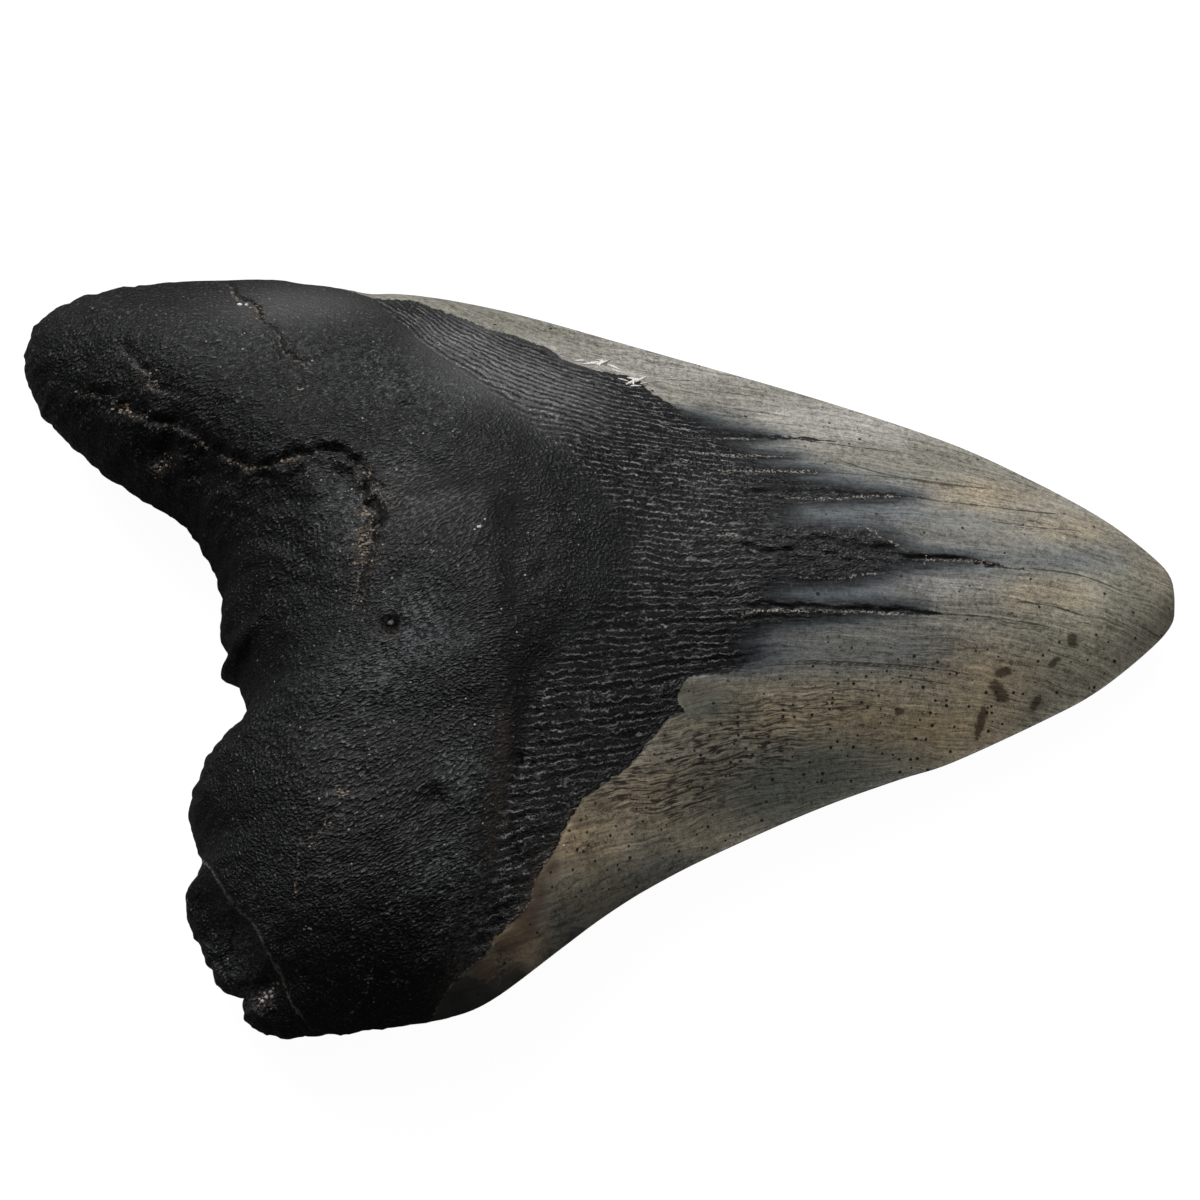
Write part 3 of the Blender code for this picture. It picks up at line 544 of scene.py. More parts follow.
def smooth_path(points, count):
    """A smooth curve through the points, as places spaced evenly along it."""
    p = np.array(points, float)
    p = np.vstack([2 * p[0] - p[1], p, 2 * p[-1] - p[-2]])
    t = np.linspace(0, 1, CURVE_STEPS, endpoint=False)[:, None]
    dense = []
    for a, b, c, d in zip(p, p[1:], p[2:], p[3:]):
        dense.append(0.5 * (2 * b + (c - a) * t + (2 * a - 5 * b + 4 * c - d) * t**2
                            + (3 * b - a - 3 * c + d) * t**3))
    dense = np.vstack([*dense, p[-2:-1]])
    steps = np.linalg.norm(np.diff(dense, axis=0), axis=1)
    along = np.concatenate([[0], np.cumsum(steps)])
    at = np.linspace(0, along[-1], count)
    return np.stack([np.interp(at, along, dense[:, k]) for k in (0, 1)], axis=1)


def follow(path, share):
    """Places on a path at shares of its length."""
    at = np.clip(share, 0, 1) * (len(path) - 1)
    index = np.arange(len(path))
    return np.stack([np.interp(at, index, path[:, k]) for k in (0, 1)], axis=-1)


def smoothstep(x):
    x = np.clip(x, 0, 1)
    return x * x * (3 - 2 * x)


def tapered(along, ends):
    """1 along a line, falling to 0 over the given shares of its length at its two ends."""
    return smoothstep(along / ends[0]) * smoothstep((1 - along) / ends[1])


def bump(away, centre, half_width, height):
    return height * np.exp(-((away - centre) / half_width) ** 2)


def away_from(xy, points, steps=LINE_STEPS):
    """Distance to a curve, positive on its left, and how far along the curve, from 0 to 1."""
    line = smooth_path(points, steps * len(points))
    nearest = np.full(len(xy), np.inf)
    side = np.ones(len(xy))
    along = np.zeros(len(xy))
    for k, (a, b) in enumerate(zip(line, line[1:])):
        run = b - a
        share = np.clip((xy - a) @ run / (run @ run), 0, 1)
        off = xy - a - share[:, None] * run
        distance = np.hypot(off[:, 0], off[:, 1])
        closer = distance < nearest
        nearest[closer] = distance[closer]
        turn = run[0] * off[:, 1] - run[1] * off[:, 0]
        side[closer] = np.where(turn[closer] < 0, -1, 1)
        along[closer] = (k + share[closer]) / (len(line) - 1)
    return nearest * side, along


def near_line(xy, points, reach):
    """As away_from, worked out only for places close to the curve; the rest are far away."""
    p = np.array(points)
    close = ((xy > p.min(axis=0) - reach) & (xy < p.max(axis=0) + reach)).all(axis=1)
    away, along = np.full(len(xy), 99.0), np.zeros(len(xy))
    if close.any():
        away[close], along[close] = away_from(xy[close], points)
    return away, along


def station(s, column):
    """One column of the stations, read as a smooth curve."""
    table = np.array(STATIONS)
    fine = np.linspace(0, 1, STATION_STEPS)
    values = np.interp(fine, table[:, 0], table[:, column])
    for _ in range(STATION_SMOOTHING):
        values[1:-1] = (values[:-2] + 2 * values[1:-1] + values[2:]) / 4
    return np.interp(s, fine, values)


def plan(s, t):
    """The place seen from above: s from tip to base, t from -1 at the near edge to 1 at the far."""
    far, near, form, chipped = (smooth_path(points, OUTLINE_STEPS) for points in (
        TIP_TO_FAR_LOBE, TIP_TO_NEAR_LOBE, BASE_FORM, BASE_OUTLINE))
    share = (t[:, None] + 1) / 2
    across = (1 - share) * follow(near, s) + share * follow(far, s)
    end = (1 - share) * near[-1] + share * far[-1]
    bend = np.clip((s - BASE_BENDS) / (1 - BASE_BENDS), 0, 1)
    bend = (bend + smoothstep(bend)) / 2
    base = follow(form, 1 - share[:, 0])
    chips = follow(chipped, 1 - share[:, 0]) - base
    fade = smoothstep((s - 1 + BASE_DETAIL) / BASE_DETAIL)
    return across + bend[:, None] * (base - end) + fade[:, None] * chips


def rootness(s):
    return smoothstep((s - ROOT_STARTS) / ROOT_BLEND)


def section(s, t, flank, squareness):
    """Share of the full height at t: a thin blade in the crown and a full round in the root."""
    root = rootness(s)
    power = flank * (1 - root) + 0.5 * root
    wide = 2 * (1 - root) + squareness * root
    return np.maximum(1 - np.abs(t) ** wide, 0) ** power


def base_round(s):
    """1 along the tooth, falling to 0 in a quarter circle at the root's base."""
    return np.sqrt(1 - np.clip((s - 1 + BASE_ROUNDING) / BASE_ROUNDING, 0, 1) ** 2)


def lumps(xy, size, seed):
    """Soft uneven ground between about -1 and 1."""
    return np.array([noise.fractal(Vector((x / size, y / size, seed)),
                                   LUMP_DIMENSION, LUMP_GAP, LUMP_LAYERS) for x, y in xy])


def ripple(u, v, across, along, seed):
    """Fine unevenness, stretched along the grain of the tooth."""
    return np.array([noise.noise(Vector((a / along, b / across, seed))) for a, b in zip(u, v)])


def ground(xy, across, along, seed):
    """The same unevenness over plain places."""
    return ripple(xy[:, 0], xy[:, 1], across, along, seed)


def layered(u, v, layers):
    """Unevenness of several sizes, added up."""
    return sum(share * ripple(u, v, across, along, seed) for share, across, along, seed in layers)


def unevenness(s):
    return ENAMEL_EVENNESS + (1 - ENAMEL_EVENNESS) * rootness(s)


def pit(xy, centre, radius, depth):
    away = np.hypot(xy[:, 0] - centre[0], xy[:, 1] - centre[1]) / radius
    return -depth * np.exp(-away**4)


def swell(xy, centre, widths, height):
    x, y = ((xy[:, k] - centre[k]) / widths[k] for k in (0, 1))
    return height * np.exp(-x * x - y * y)


def furrow_step(xy, ragged):
    """The notch side of the root's main furrow lies lower, up to the furrow."""
    away, along = away_from(xy, FURROW_STEP_LINE)
    away = away + FURROW_STEP_RAGGED * ragged
    below = smoothstep(-away / FURROW_STEP_WALL) * np.exp(np.minimum(away, 0) / FURROW_STEP_REACH)
    mean, swing = FURROW_STEP_SPREAD
    uneven = np.clip(mean + swing * ground(xy, 2.6, 2.6, 11.5), *FURROW_STEP_BOUNDS)
    return -FURROW_STEP * uneven * tapered(along, FURROW_STEP_TAPERS) * below


def border_relief(xy):
    """The valley where the root meets the bourlette, and the low step up onto the enamel."""
    away, along = away_from(xy, ROOT_BORDER)
    growth = smoothstep((np.abs(along - BORDER_MIDDLE) - BORDER_FADE[0]) / BORDER_FADE[1])
    arms = BORDER_WEAKEST + (1 - BORDER_WEAKEST) * growth
    folds = arms * (bump(away, *BORDER_VALLEY) + bump(away, *BORDER_LIP))
    away, along = away_from(xy, ENAMEL_BORDER)
    start, end = FLUSH_ENAMEL
    flush = smoothstep((along - start) / FLUSH_FADE) * smoothstep((end - along) / FLUSH_FADE)
    return folds + ENAMEL_STEP * (1 - flush) * smoothstep(away / ENAMEL_STEP_RUN + 0.5)


def ledge(xy, z, edge):
    """Lowers what lies beyond the broken line to a rough ledge."""
    away, along = away_from(xy, LEDGE_LINE)
    away = away + LEDGE_RAGGED * ground(xy, 0.8, 0.8, 21.5)
    within = smoothstep((LEDGE_FROM - xy[:, 1]) / LEDGE_FADE)
    beyond = np.clip(-away / LEDGE_WALL, 0, 1) ** LEDGE_HOLLOW * within
    floor = edge + LEDGE_RISE + LEDGE_LUMPS * lumps(xy, LEDGE_LUMP_SIZE, LEDGE_SEED)
    marks = LEDGE_SCORED * beyond * ripple(along * LEDGE_SCORES, away, 0.7, 4.0, 31.5)
    marks += bump(away, *LEDGE_LIP) * within
    lowered = z - beyond * np.maximum(z - np.maximum(floor, edge), 0)
    return lowered + marks * smoothstep((z - edge) / LEDGE_INLAND)


def spread(u, v):
    """Grid places (u from -1 to 1, v from 0 to 1) as s and t, crowded where the surface is steep."""
    rows, length = BASE_ROWS
    late = np.clip((v - 1 + rows) / rows, 0, 1)
    s = np.where(late > 0, 1 - length + length * np.sin(late * np.pi / 2), v * (1 - length) / (1 - rows))
    crowd = CROWDING[0] + CROWDING[1] * smoothstep((s - CROWDING_ZONE[0]) / CROWDING_ZONE[1])
    return s, (1 - crowd) * u + crowd * np.sin(u * np.pi / 2)


def grain_field(xy):
    """Across-the-grain coordinate in millimetres: its level lines are the lines the grain follows."""
    x, y = xy[:, 0], xy[:, 1]
    heights, levels = [], []
    for points in reversed(GRAIN_LINES):
        line = smooth_path(points, LINE_STEPS * len(points))
        heights.append(np.interp(x, line[:, 0], line[:, 1]))
        levels.append(min(points, key=lambda place: abs(place[0] - GRAIN_READ_AT))[1])
    value = np.where(y < heights[0], levels[0] + (y - heights[0]), levels[-1] + (y - heights[-1]))
    for low, high, a, b in zip(heights, heights[1:], levels, levels[1:]):
        inside = (y >= low) & (y < high)
        share = (y - low) / np.maximum(high - low, 0.5)
        value = np.where(inside, a + share * (b - a), value)
    return value


def soft_sum(xy, patches):
    """Sum of soft stains, held at 1."""
    total = np.zeros(len(xy))
    for x, y, wide, high, strength in patches:
        total += swell(xy, (x, y), (wide, high), strength)
    return np.clip(total, 0, 1)


def drawn_lines(xy, lines, wide):
    """The signed distance to the nearest of some lines, and that line's strength close to it."""
    distance, strength = np.full(len(xy), UNDRAWN), np.zeros(len(xy))
    for points, weight in lines:
        away, along = near_line(xy, points, LINE_REACH)
        closer = np.abs(away) < np.abs(distance)
        distance[closer] = away[closer]
        fade = smoothstep(2 - np.abs(away) / wide)
        strength[closer] = (weight * tapered(along, LINE_TAPERS) * fade)[closer]
    return distance, strength


def fissures(xy, cracks, ragged):
    """Depth of the cracks, their sides made ragged and their lips uneven."""
    relief = np.zeros(len(xy))
    mean, swing = CRACK_DEPTHS
    high, reach = CRACK_LIPS
    for points, width, depth in cracks:
        away, along = near_line(xy, points, CRACK_REACH)
        uneven = depth * (mean + swing * ragged)
        strength = tapered(along, CRACK_TAPERS)
        relief -= strength * bump(away + ragged * (width + CRACK_WANDER), 0, width, uneven)
        relief += high * depth * ragged * strength * bump(away, 0, reach * width, 1.0)
    return relief


def spots(xy):
    """The few long brown spots of the crown."""
    value = np.zeros(len(xy))
    for (x, y), (wide, high), angle in SPOTS:
        c, s = math.cos(math.radians(angle)), math.sin(math.radians(angle))
        dx, dy = xy[:, 0] - x, xy[:, 1] - y
        a, b = (dx * c + dy * s) / wide, (dy * c - dx * s) / high
        value = np.maximum(value, np.exp(-(a * a + b * b) ** 1.5))
    return value


def ring(xy, centre, radii, height):
    """A shallow ring with a raised middle."""
    away = np.hypot((xy[:, 0] - centre[0]) / radii[0], (xy[:, 1] - centre[1]) / radii[1])
    return bump(away, 0, RING_MIDDLE, RING_MIDDLE_HEIGHT * height) - bump(away, 1, RING_WALL, height)


def encloses(xy, points):
    """Whether each place lies inside the closed outline."""
    line = np.array(points)
    inside = np.zeros(len(xy), bool)
    for a, b in zip(line, np.roll(line, -1, axis=0)):
        spans = (a[1] > xy[:, 1]) != (b[1] > xy[:, 1])
        rise = b[1] - a[1] if b[1] != a[1] else 1.0
        inside ^= spans & (xy[:, 0] < a[0] + (xy[:, 1] - a[1]) / rise * (b[0] - a[0]))
    return inside


def read_sides(xy, placed, lingual):
    """Where each place lies: beyond the root border, beyond the black's edge, and how soft that is."""
    if not lingual:
        enamel, _ = away_from(xy, LABIAL_ENAMEL_BORDER)
        return enamel + LABIAL_BLACK, enamel, np.full(len(xy), LABIAL_SOFTNESS)
    root_side, _ = away_from(xy, ROOT_BORDER)
    edge = smooth_path(BLACK_EDGE, LINE_STEPS * len(BLACK_EDGE))
    black = encloses(placed, [*edge, *BLACK_CLOSES])
    crisp, _ = away_from(placed, BLACK_EDGE)
    squeeze = np.array([1 / BLACK_STRETCH, 1])
    feathered, _ = away_from(placed * squeeze, np.array(BLACK_EDGE) * squeeze)
    low, high = SOFT_BLACK
    soft = smoothstep((placed[:, 1] - low) / SOFT_FADE) * smoothstep((high - placed[:, 1]) / SOFT_FADE)
    away = np.abs(crisp) * (1 - soft) + np.abs(feathered) * soft
    return root_side, np.where(black, -away, away), soft


def wrinkle_zone(root_side, black_side, placed, soft):
    """Where the bourlette is wrinkled: from the root border to the edge of the black."""
    centre, half = WRINKLE_MIDDLE
    middle = np.exp(-((placed[:, 1] - centre) / half) ** 2)
    later, slower = WRINKLE_LATER
    begins = root_side + WRINKLE_START - later * middle
    begins = smoothstep(begins / (WRINKLE_FADE + slower * middle))
    start, run = WRINKLE_THINS
    ends = smoothstep(-black_side / WRINKLE_FADE)
    ends *= 1 - soft * smoothstep((placed[:, 0] - start) / run) * WRINKLE_THINNING
    return begins * ends


def surface_fields(xy, placed, lingual):
    """Everything about each place that the relief and the finish need."""
    root_side, black_side, soft = read_sides(xy, placed, lingual)
    v = grain_field(placed)
    wobble = layered(*placed.T, GRAIN_WOBBLE)
    fields = {"root_side": root_side, "black_side": black_side, "soft_black": soft,
              "along_grain": placed[:, 0], "across_grain": v + wobble}
    fields["wrinkled"] = wrinkle_zone(root_side, black_side, placed, soft) * lingual
    fields["spot"] = spots(placed) * lingual
    for name, patches in STAINS.items():
        fields[name] = soft_sum(placed, patches)
    for name, lines, wide in DRAWN_LINES:
        shown = lines if lingual else []
        fields[name + "_away"], fields[name + "_strength"] = drawn_lines(placed, shown, wide)
    return fields


def fine_relief(placed, fields, sizes):
    """Wrinkles, grain and rough patches in millimetres."""
    u, v = fields["along_grain"], fields["across_grain"]
    gap, height = sizes.wrinkle_gap / MM, sizes.wrinkle_height / MM
    broken = WRINKLES_KEPT + layered(u, v, WRINKLE_BREAKS)
    wave = np.cos(np.pi * v / gap)
    relief = height * fields["wrinkled"] * broken * (wave + 0.35 * wave * np.abs(wave))
    in_root = smoothstep(0.8 - fields["root_side"] / 3) * (1 - SMOOTHED * fields["smooth"])
    grain = layered(*placed.T, ROOT_GRAIN)
    relief += sizes.root_grain / MM * in_root * (1 + fields["rough"]) * grain
    rubble = fields["rough"] * smoothstep(0.5 - fields["black_side"])
    relief += RUBBLE_HEIGHT * rubble * layered(u, v, RUBBLE)
    return relief


def lingual_height(xy, placed, s, t, fields, sizes):
    edge = station(s, 1)
    rise = station(s, 2) * section(s, t, CROWN_FLANK, ROOT_ROUND) * base_round(s)
    ragged = layered(*placed.T, RAGGED_SIDES)
    relief = LINGUAL_LUMPS * unevenness(s) * lumps(xy, LUMP_SIZE, LINGUAL_SEED)
    relief += furrow_step(xy, ragged) + border_relief(xy)
    relief += fissures(placed, ROOT_CRACKS, ragged) + fissures(placed, CROWN_FISSURES, ragged)
    for centre, radius, depth in PITS:
        relief += pit(xy, centre, radius, depth)
    for centre, widths, height in SWELLS:
        relief += swell(xy, centre, widths, height)
    relief += ring(placed, *RING)
    relief += fine_relief(placed, fields, sizes)
    inland = smoothstep(rise / RELIEF_FADE)
    return ledge(xy, edge + rise + inland * relief, edge)


def labial_height(xy, placed, s, t, fields, sizes):
    depth = station(s, 3) * section(s, t, CROWN_BELLY, ROOT_FLAT) * base_round(s)
    enamel, _ = away_from(xy, LABIAL_ENAMEL_BORDER)
    relief = swell(xy, *LABIAL_HOLLOW) - ENAMEL_STEP * smoothstep(enamel / ENAMEL_STEP_RUN + 0.5)
    relief += LABIAL_LUMPS * unevenness(s) * lumps(xy, LUMP_SIZE, LABIAL_SEED)
    relief -= fine_relief(placed, fields, sizes)
    return np.maximum(station(s, 1) - depth + smoothstep(depth / RELIEF_FADE) * relief, 0)


def deselect():
    if bpy.context.object and bpy.context.object.mode != "OBJECT":
        bpy.ops.object.mode_set(mode="OBJECT")
    bpy.ops.object.select_all(action="DESELECT")


def places(mesh):
    co = np.empty(len(mesh.vertices) * 3)
    mesh.vertices.foreach_get("co", co)
    return co.reshape(-1, 3)


def roughened(xy):
    """A small uneven shift of each place, for the worn rim of the root."""
    return np.column_stack([ground(xy, 1.3, 1.3, seed) + 0.6 * ground(xy, 0.7, 0.7, seed + 2)
                            for seed in (12.5, 16.5)])


def face_sheet(name, lingual, sizes):
    """A grid laid over the outline and lifted to the lingual or the labial face."""
    deselect()
    bpy.ops.mesh.primitive_grid_add(x_subdivisions=sizes.columns, y_subdivisions=sizes.rows, size=2)
    sheet = bpy.context.object
    sheet.name = name
    mesh = sheet.data
    co = places(mesh)
    s, t = spread(np.round(co[:, 0], 5), np.round(co[:, 1] / 2 + 0.5, 5))
    xy = plan(s, t)
    worn = ROUGH_OUTLINE * rootness(s) * smoothstep((s - ROUGH_FROM) / ROUGH_BLEND)
    xy += roughened(xy) * worn[:, None]
    placed = xy - (xy.min(axis=0) + xy.max(axis=0)) / 2
    fields = surface_fields(xy, placed, lingual)
    lift = lingual_height if lingual else labial_height
    z = lift(xy, placed, s, t, fields, sizes)
    z[z < RESTING_BAND] = 0
    mesh.vertices.foreach_set("co", (np.column_stack([placed, z]) * MM).ravel())
    for field, values in fields.items():
        mesh.attributes.new(field, "FLOAT", "POINT").data.foreach_set("value", values)
    inner = np.flatnonzero((s > 0) & (s < 1) & (np.abs(t) < 1)) if not lingual else []
    sheet.vertex_groups.new(name="thin").add([int(k) for k in inner], 1.0, "REPLACE")
    mesh.update()
    return sheet


def lay_grain_map(mesh):
    """The UV map: along the grain and across it, in millimetres."""
    along, across = (np.empty(len(mesh.vertices)) for _ in range(2))
    mesh.attributes["along_grain"].data.foreach_get("value", along)
    mesh.attributes["across_grain"].data.foreach_get("value", across)
    corner = np.empty(len(mesh.loops), int)
    mesh.loops.foreach_get("vertex_index", corner)
    while mesh.uv_layers:
        mesh.uv_layers.remove(mesh.uv_layers[0])
    layer = mesh.uv_layers.new(name="grain")
    layer.data.foreach_set("uv", np.column_stack([along[corner], across[corner]]).ravel())
    for name in ("along_grain", "across_grain"):
        mesh.attributes.remove(mesh.attributes[name])


def build_tooth(sizes):
    lingual = face_sheet("fossil_tooth", True, sizes)
    labial = face_sheet("labial_face", False, sizes)
    deselect()
    labial.select_set(True)
    lingual.select_set(True)
    bpy.context.view_layer.objects.active = lingual
    bpy.ops.object.join()
    bpy.ops.object.mode_set(mode="EDIT")
    bpy.ops.mesh.select_all(action="SELECT")
    bpy.ops.mesh.remove_doubles(threshold=1e-7)
    bpy.ops.mesh.normals_make_consistent(inside=False)
    bpy.ops.object.mode_set(mode="OBJECT")
    tooth = bpy.context.object
    thin = tooth.modifiers.new("thin_underside", "DECIMATE")
    thin.ratio = sizes.triangles / sum(len(f.vertices) - 2 for f in tooth.data.polygons)
    thin.vertex_group = "thin"
    bpy.ops.object.modifier_apply(modifier=thin.name)
    tooth.vertex_groups.clear()
    lay_grain_map(tooth.data)
    bpy.ops.object.shade_smooth()
    return tooth


def finish_piece(piece, material, replaces=()):
    piece.data.materials.clear()
    piece.data.materials.append(material)
    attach(piece, "root")
    if replaces:
        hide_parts(*replaces)


def join_all(parts, name):
    deselect()
    for part in parts:
        part.select_set(True)
    bpy.context.view_layer.objects.active = parts[0]
    bpy.ops.object.join()
    piece = bpy.context.object
    piece.name = name
    bpy.ops.object.transform_apply(location=True, rotation=True, scale=True)
    return piece


def tooth_surface(tooth, x, y):
    """The height of the tooth's upper face over a place given in millimetres, and its normal."""
    hit, at, normal, _ = tooth.ray_cast(Vector((x * MM, y * MM, 1.0)), -UP)
    if not hit:
        raise RuntimeError("nothing of the tooth lies under (%.1f, %.1f)" % (x, y))
    return at, normal


def crumb(at, normal, size, rng, flat):
    """One angular grain, half sunk into the surface."""
    deselect()
    bpy.ops.mesh.primitive_ico_sphere_add(subdivisions=1, radius=size * MM, location=at)
    grain = bpy.context.object
    grain.rotation_euler = UP.rotation_difference(normal).to_euler()
    bpy.ops.object.mode_set(mode="EDIT")
    bpy.ops.transform.resize(value=(rng.uniform(*CRUMB_LENGTHS), rng.uniform(*CRUMB_WIDTHS), flat))
    bpy.ops.object.mode_set(mode="OBJECT")
    for vertex in grain.data.vertices:
        vertex.co *= rng.uniform(*CRUMB_CORNERS)
    return grain


class Nodes:
    """Short hands for adding nodes to one tree."""

    def __init__(self, tree):
        self.tree = tree

    def put(self, socket, value):
        if isinstance(value, bpy.types.NodeSocket):
            self.tree.links.new(value, socket)
        elif value is not None:
            socket.default_value = value

    def add(self, kind, settings=(), **inputs):
        node = self.tree.nodes.new(kind)
        for key, value in dict(settings).items():
            setattr(node, key, value)
        for key, value in inputs.items():
            self.put(node.inputs[key.replace("_", " ")], value)
        return node

    def calc(self, operation, *values, clamp=False):
        """One step of arithmetic: a Math node."""
        node = self.add("ShaderNodeMath", {"operation": operation, "use_clamp": clamp})
        for socket, value in zip(node.inputs, values):
            self.put(socket, value)
        return node.outputs[0]

    def chain(self, operation, first, others, clamp=False):
        for value in others:
            first = self.calc(operation, first, value, clamp=clamp)
        return first

    def times(self, first, *others):
        return self.chain("MULTIPLY", first, others)

    def plus(self, first, *others, clamp=False):
        return self.chain("ADD", first, others, clamp)

    def most(self, first, *others):
        return self.chain("MAXIMUM", first, others)

    def minus(self, a, b):
        return self.calc("SUBTRACT", a, b)

    def rest(self, share):
        return self.minus(1.0, share)

    def ramp(self, value, low, high, to_low=0.0, to_high=1.0):
        node = self.add("ShaderNodeMapRange", {"interpolation_type": "SMOOTHSTEP"}, Value=value,
                        From_Min=low, From_Max=high, To_Min=to_low, To_Max=to_high)
        return node.outputs["Result"]

    def between(self, share, a, b):
        return self.add("ShaderNodeMix", Factor=share, A=a, B=b).outputs[0]

    def blend(self, share, a, b, kind="MIX"):
        node = self.add("ShaderNodeMix", {"data_type": "RGBA", "blend_type": kind})
        for k, value in ((0, share), (6, a), (7, b)):
            self.put(node.inputs[k], value)
        return node.outputs[2]

    def paint(self, under, share, tint, strength=1.0):
        """A tint laid over a colour, as far as the share and the strength say."""
        if strength != 1.0:
            share = self.times(share, strength)
        return self.blend(share, under, rgba(tint))

    def vector(self, operation, *values):
        node = self.add("ShaderNodeVectorMath", {"operation": operation})
        for socket, value in zip(node.inputs, values):
            self.put(socket, value)
        return node.outputs[0]

    def scaled(self, vector, x, y, z):
        return self.vector("MULTIPLY", vector, (x, y, z))

    def shifted(self, vector, by, amount):
        return self.vector("MULTIPLY_ADD", by, (amount, amount, amount), vector)

    def noise(self, vector, scale, detail, roughness):
        node = self.add("ShaderNodeTexNoise", Vector=vector, Scale=scale, Detail=detail,
                        Roughness=roughness)
        return node.outputs["Fac"]

    def sway(self, vector, scale, detail, roughness):
        """The same noise around 0."""
        return self.minus(self.noise(vector, scale, detail, roughness), 0.5)

    def drift(self, vector, scale, detail):
        """A noise with its own value for each axis."""
        return self.add("ShaderNodeTexNoise", Vector=vector, Scale=scale, Detail=detail).outputs["Color"]

    def dots(self, vector, scale):
        """The distance to scattered points, and two random values for each point."""
        node = self.add("ShaderNodeTexVoronoi", Vector=vector, Scale=scale, Randomness=1.0)
        picked = self.add("ShaderNodeSeparateColor", Color=node.outputs["Color"]).outputs
        return node.outputs["Distance"], picked[0], picked[1]

    def field(self, name):
        return self.add("ShaderNodeAttribute", {"attribute_name": name}).outputs["Fac"]

    def group(self, name, **inputs):
        """A shared effect at its own settings."""
        return self.add("ShaderNodeGroup", {"node_tree": shared(name)}, **inputs).outputs[0]


def rgba(colour):
    return (*colour, 1.0)


def new_group(name, result, **inputs):
    """A shader node group with a place, named values with their defaults, and one result."""
    tree = bpy.data.node_groups.new(name, "ShaderNodeTree")
    tree.interface.new_socket("Place", in_out="INPUT", socket_type="NodeSocketVector")
    for socket, default in inputs.items():
        made = tree.interface.new_socket(socket, in_out="INPUT", socket_type="NodeSocketFloat")
        made.default_value = default
    tree.interface.new_socket(result, in_out="OUTPUT", socket_type="NodeSocketFloat")
    given = tree.nodes.new("NodeGroupInput").outputs
    return tree, Nodes(tree), given, tree.nodes.new("NodeGroupOutput").inputs[0]


def line_group():
    """A drawn line with ragged sides, broken here and there."""
    tree, n, given, mask = new_group("Drawn line", "Mask", Away=9.0, Strength=0.0, Width=0.1, Ragged=0.1,
                                     Broken=0.3, Bits=2.1)
    place, broken = given["Place"], given["Broken"]
    wander = n.times(n.sway(place, 1.3, 4.0, 0.7), given["Ragged"])
    off = n.calc("ABSOLUTE", n.plus(given["Away"], wander))
    swollen = n.ramp(n.noise(place, 0.6, 2.0, 0.6), 0.3, 0.7, 0.45, 1.4)
    width = n.times(given["Width"], swollen, given["Strength"])
    inside = n.ramp(n.minus(width, off), -0.04, 0.04)
    gaps = n.ramp(n.noise(place, given["Bits"], 3.0, 0.6), n.minus(broken, 0.05), n.plus(broken, 0.05))
    n.put(mask, n.times(inside, gaps))
    return tree


def speckle_group():
    """Fine mottling around 0, from two sizes of grain."""
    tree, n, given, value = new_group("Speckle", "Value", Coarse=1.7, Fine=4.6)
    coarse = n.sway(given["Place"], given["Coarse"], 3.0, 0.6)
    fine = n.sway(given["Place"], given["Fine"], 2.0, 0.7)
    n.put(value, n.plus(n.times(coarse, 1.2), n.times(fine, 1.3)))
    return tree


def grit_group():
    """Tiny pale points, thrown thickly or thinly."""
    tree, n, given, mask = new_group("Grit", "Mask", Scale=5.0, Amount=0.3)
    distance, chosen, size = n.dots(given["Place"], given["Scale"])
    there = n.calc("LESS_THAN", chosen, given["Amount"])
    n.put(mask, n.times(there, n.ramp(n.minus(n.times(size, 0.34), distance), -0.06, 0.06)))
    return tree


def stroke_group():
    """Short uneven strokes, laid at an angle to the first axis of the place."""
    tree, n, given, value = new_group("Strokes", "Value", Turn=0.0, Along=1.5, Across=3.0)
    turned = n.add("ShaderNodeVectorRotate", {"rotation_type": "Z_AXIS"}, Vector=given["Place"],
                   Angle=given["Turn"]).outputs[0]
    across = given["Across"]
    squeeze = n.add("ShaderNodeCombineXYZ", X=given["Along"], Y=across, Z=across).outputs[0]
    n.put(value, n.noise(n.vector("MULTIPLY", turned, squeeze), 1.0, 2.0, 0.47))
    return tree


def hair_group():
    """Thin curling lines: the level lines of a soft noise."""
    tree, n, given, mask = new_group("Hair lines", "Mask", Scale=1.0, Width=0.02)
    level = n.calc("ABSOLUTE", n.sway(given["Place"], given["Scale"], 2.0, 0.6))
    n.put(mask, n.ramp(level, given["Width"], 0.0))
    return tree


GROUP_MAKERS = {"line": line_group, "speckle": speckle_group, "grit": grit_group,
                "strokes": stroke_group, "hair": hair_group}
GROUPS = {}


def shared(name):
    """A node group, made the first time that it is asked for."""
    if name not in GROUPS:
        GROUPS[name] = GROUP_MAKERS[name]()
    return GROUPS[name]


def new_material(name):
    material = bpy.data.materials.new(name)
    material.use_nodes = True
    tree = material.node_tree
    tree.nodes.clear()
    shader = tree.nodes.new("ShaderNodeBsdfPrincipled")
    end = tree.nodes.new("ShaderNodeOutputMaterial")
    tree.links.new(shader.outputs[0], end.inputs["Surface"])
    return material, Nodes(tree), shader


def in_millimetres(n):
    """The place on the object, in millimetres."""
    return n.scaled(n.add("ShaderNodeTexCoord").outputs["Object"], 1 / MM, 1 / MM, 1 / MM)


def drawn(n, name, mm, width, ragged, broken, shift=0.0, **settings):
    """The mask of the lines that the mesh holds under this name."""
    away = n.field(name + "_away")
    if shift:
        away = n.plus(away, shift)
    return n.group("line", Place=mm, Away=away, Strength=n.field(name + "_strength"), Width=width,
                   Ragged=ragged, Broken=broken, **settings)


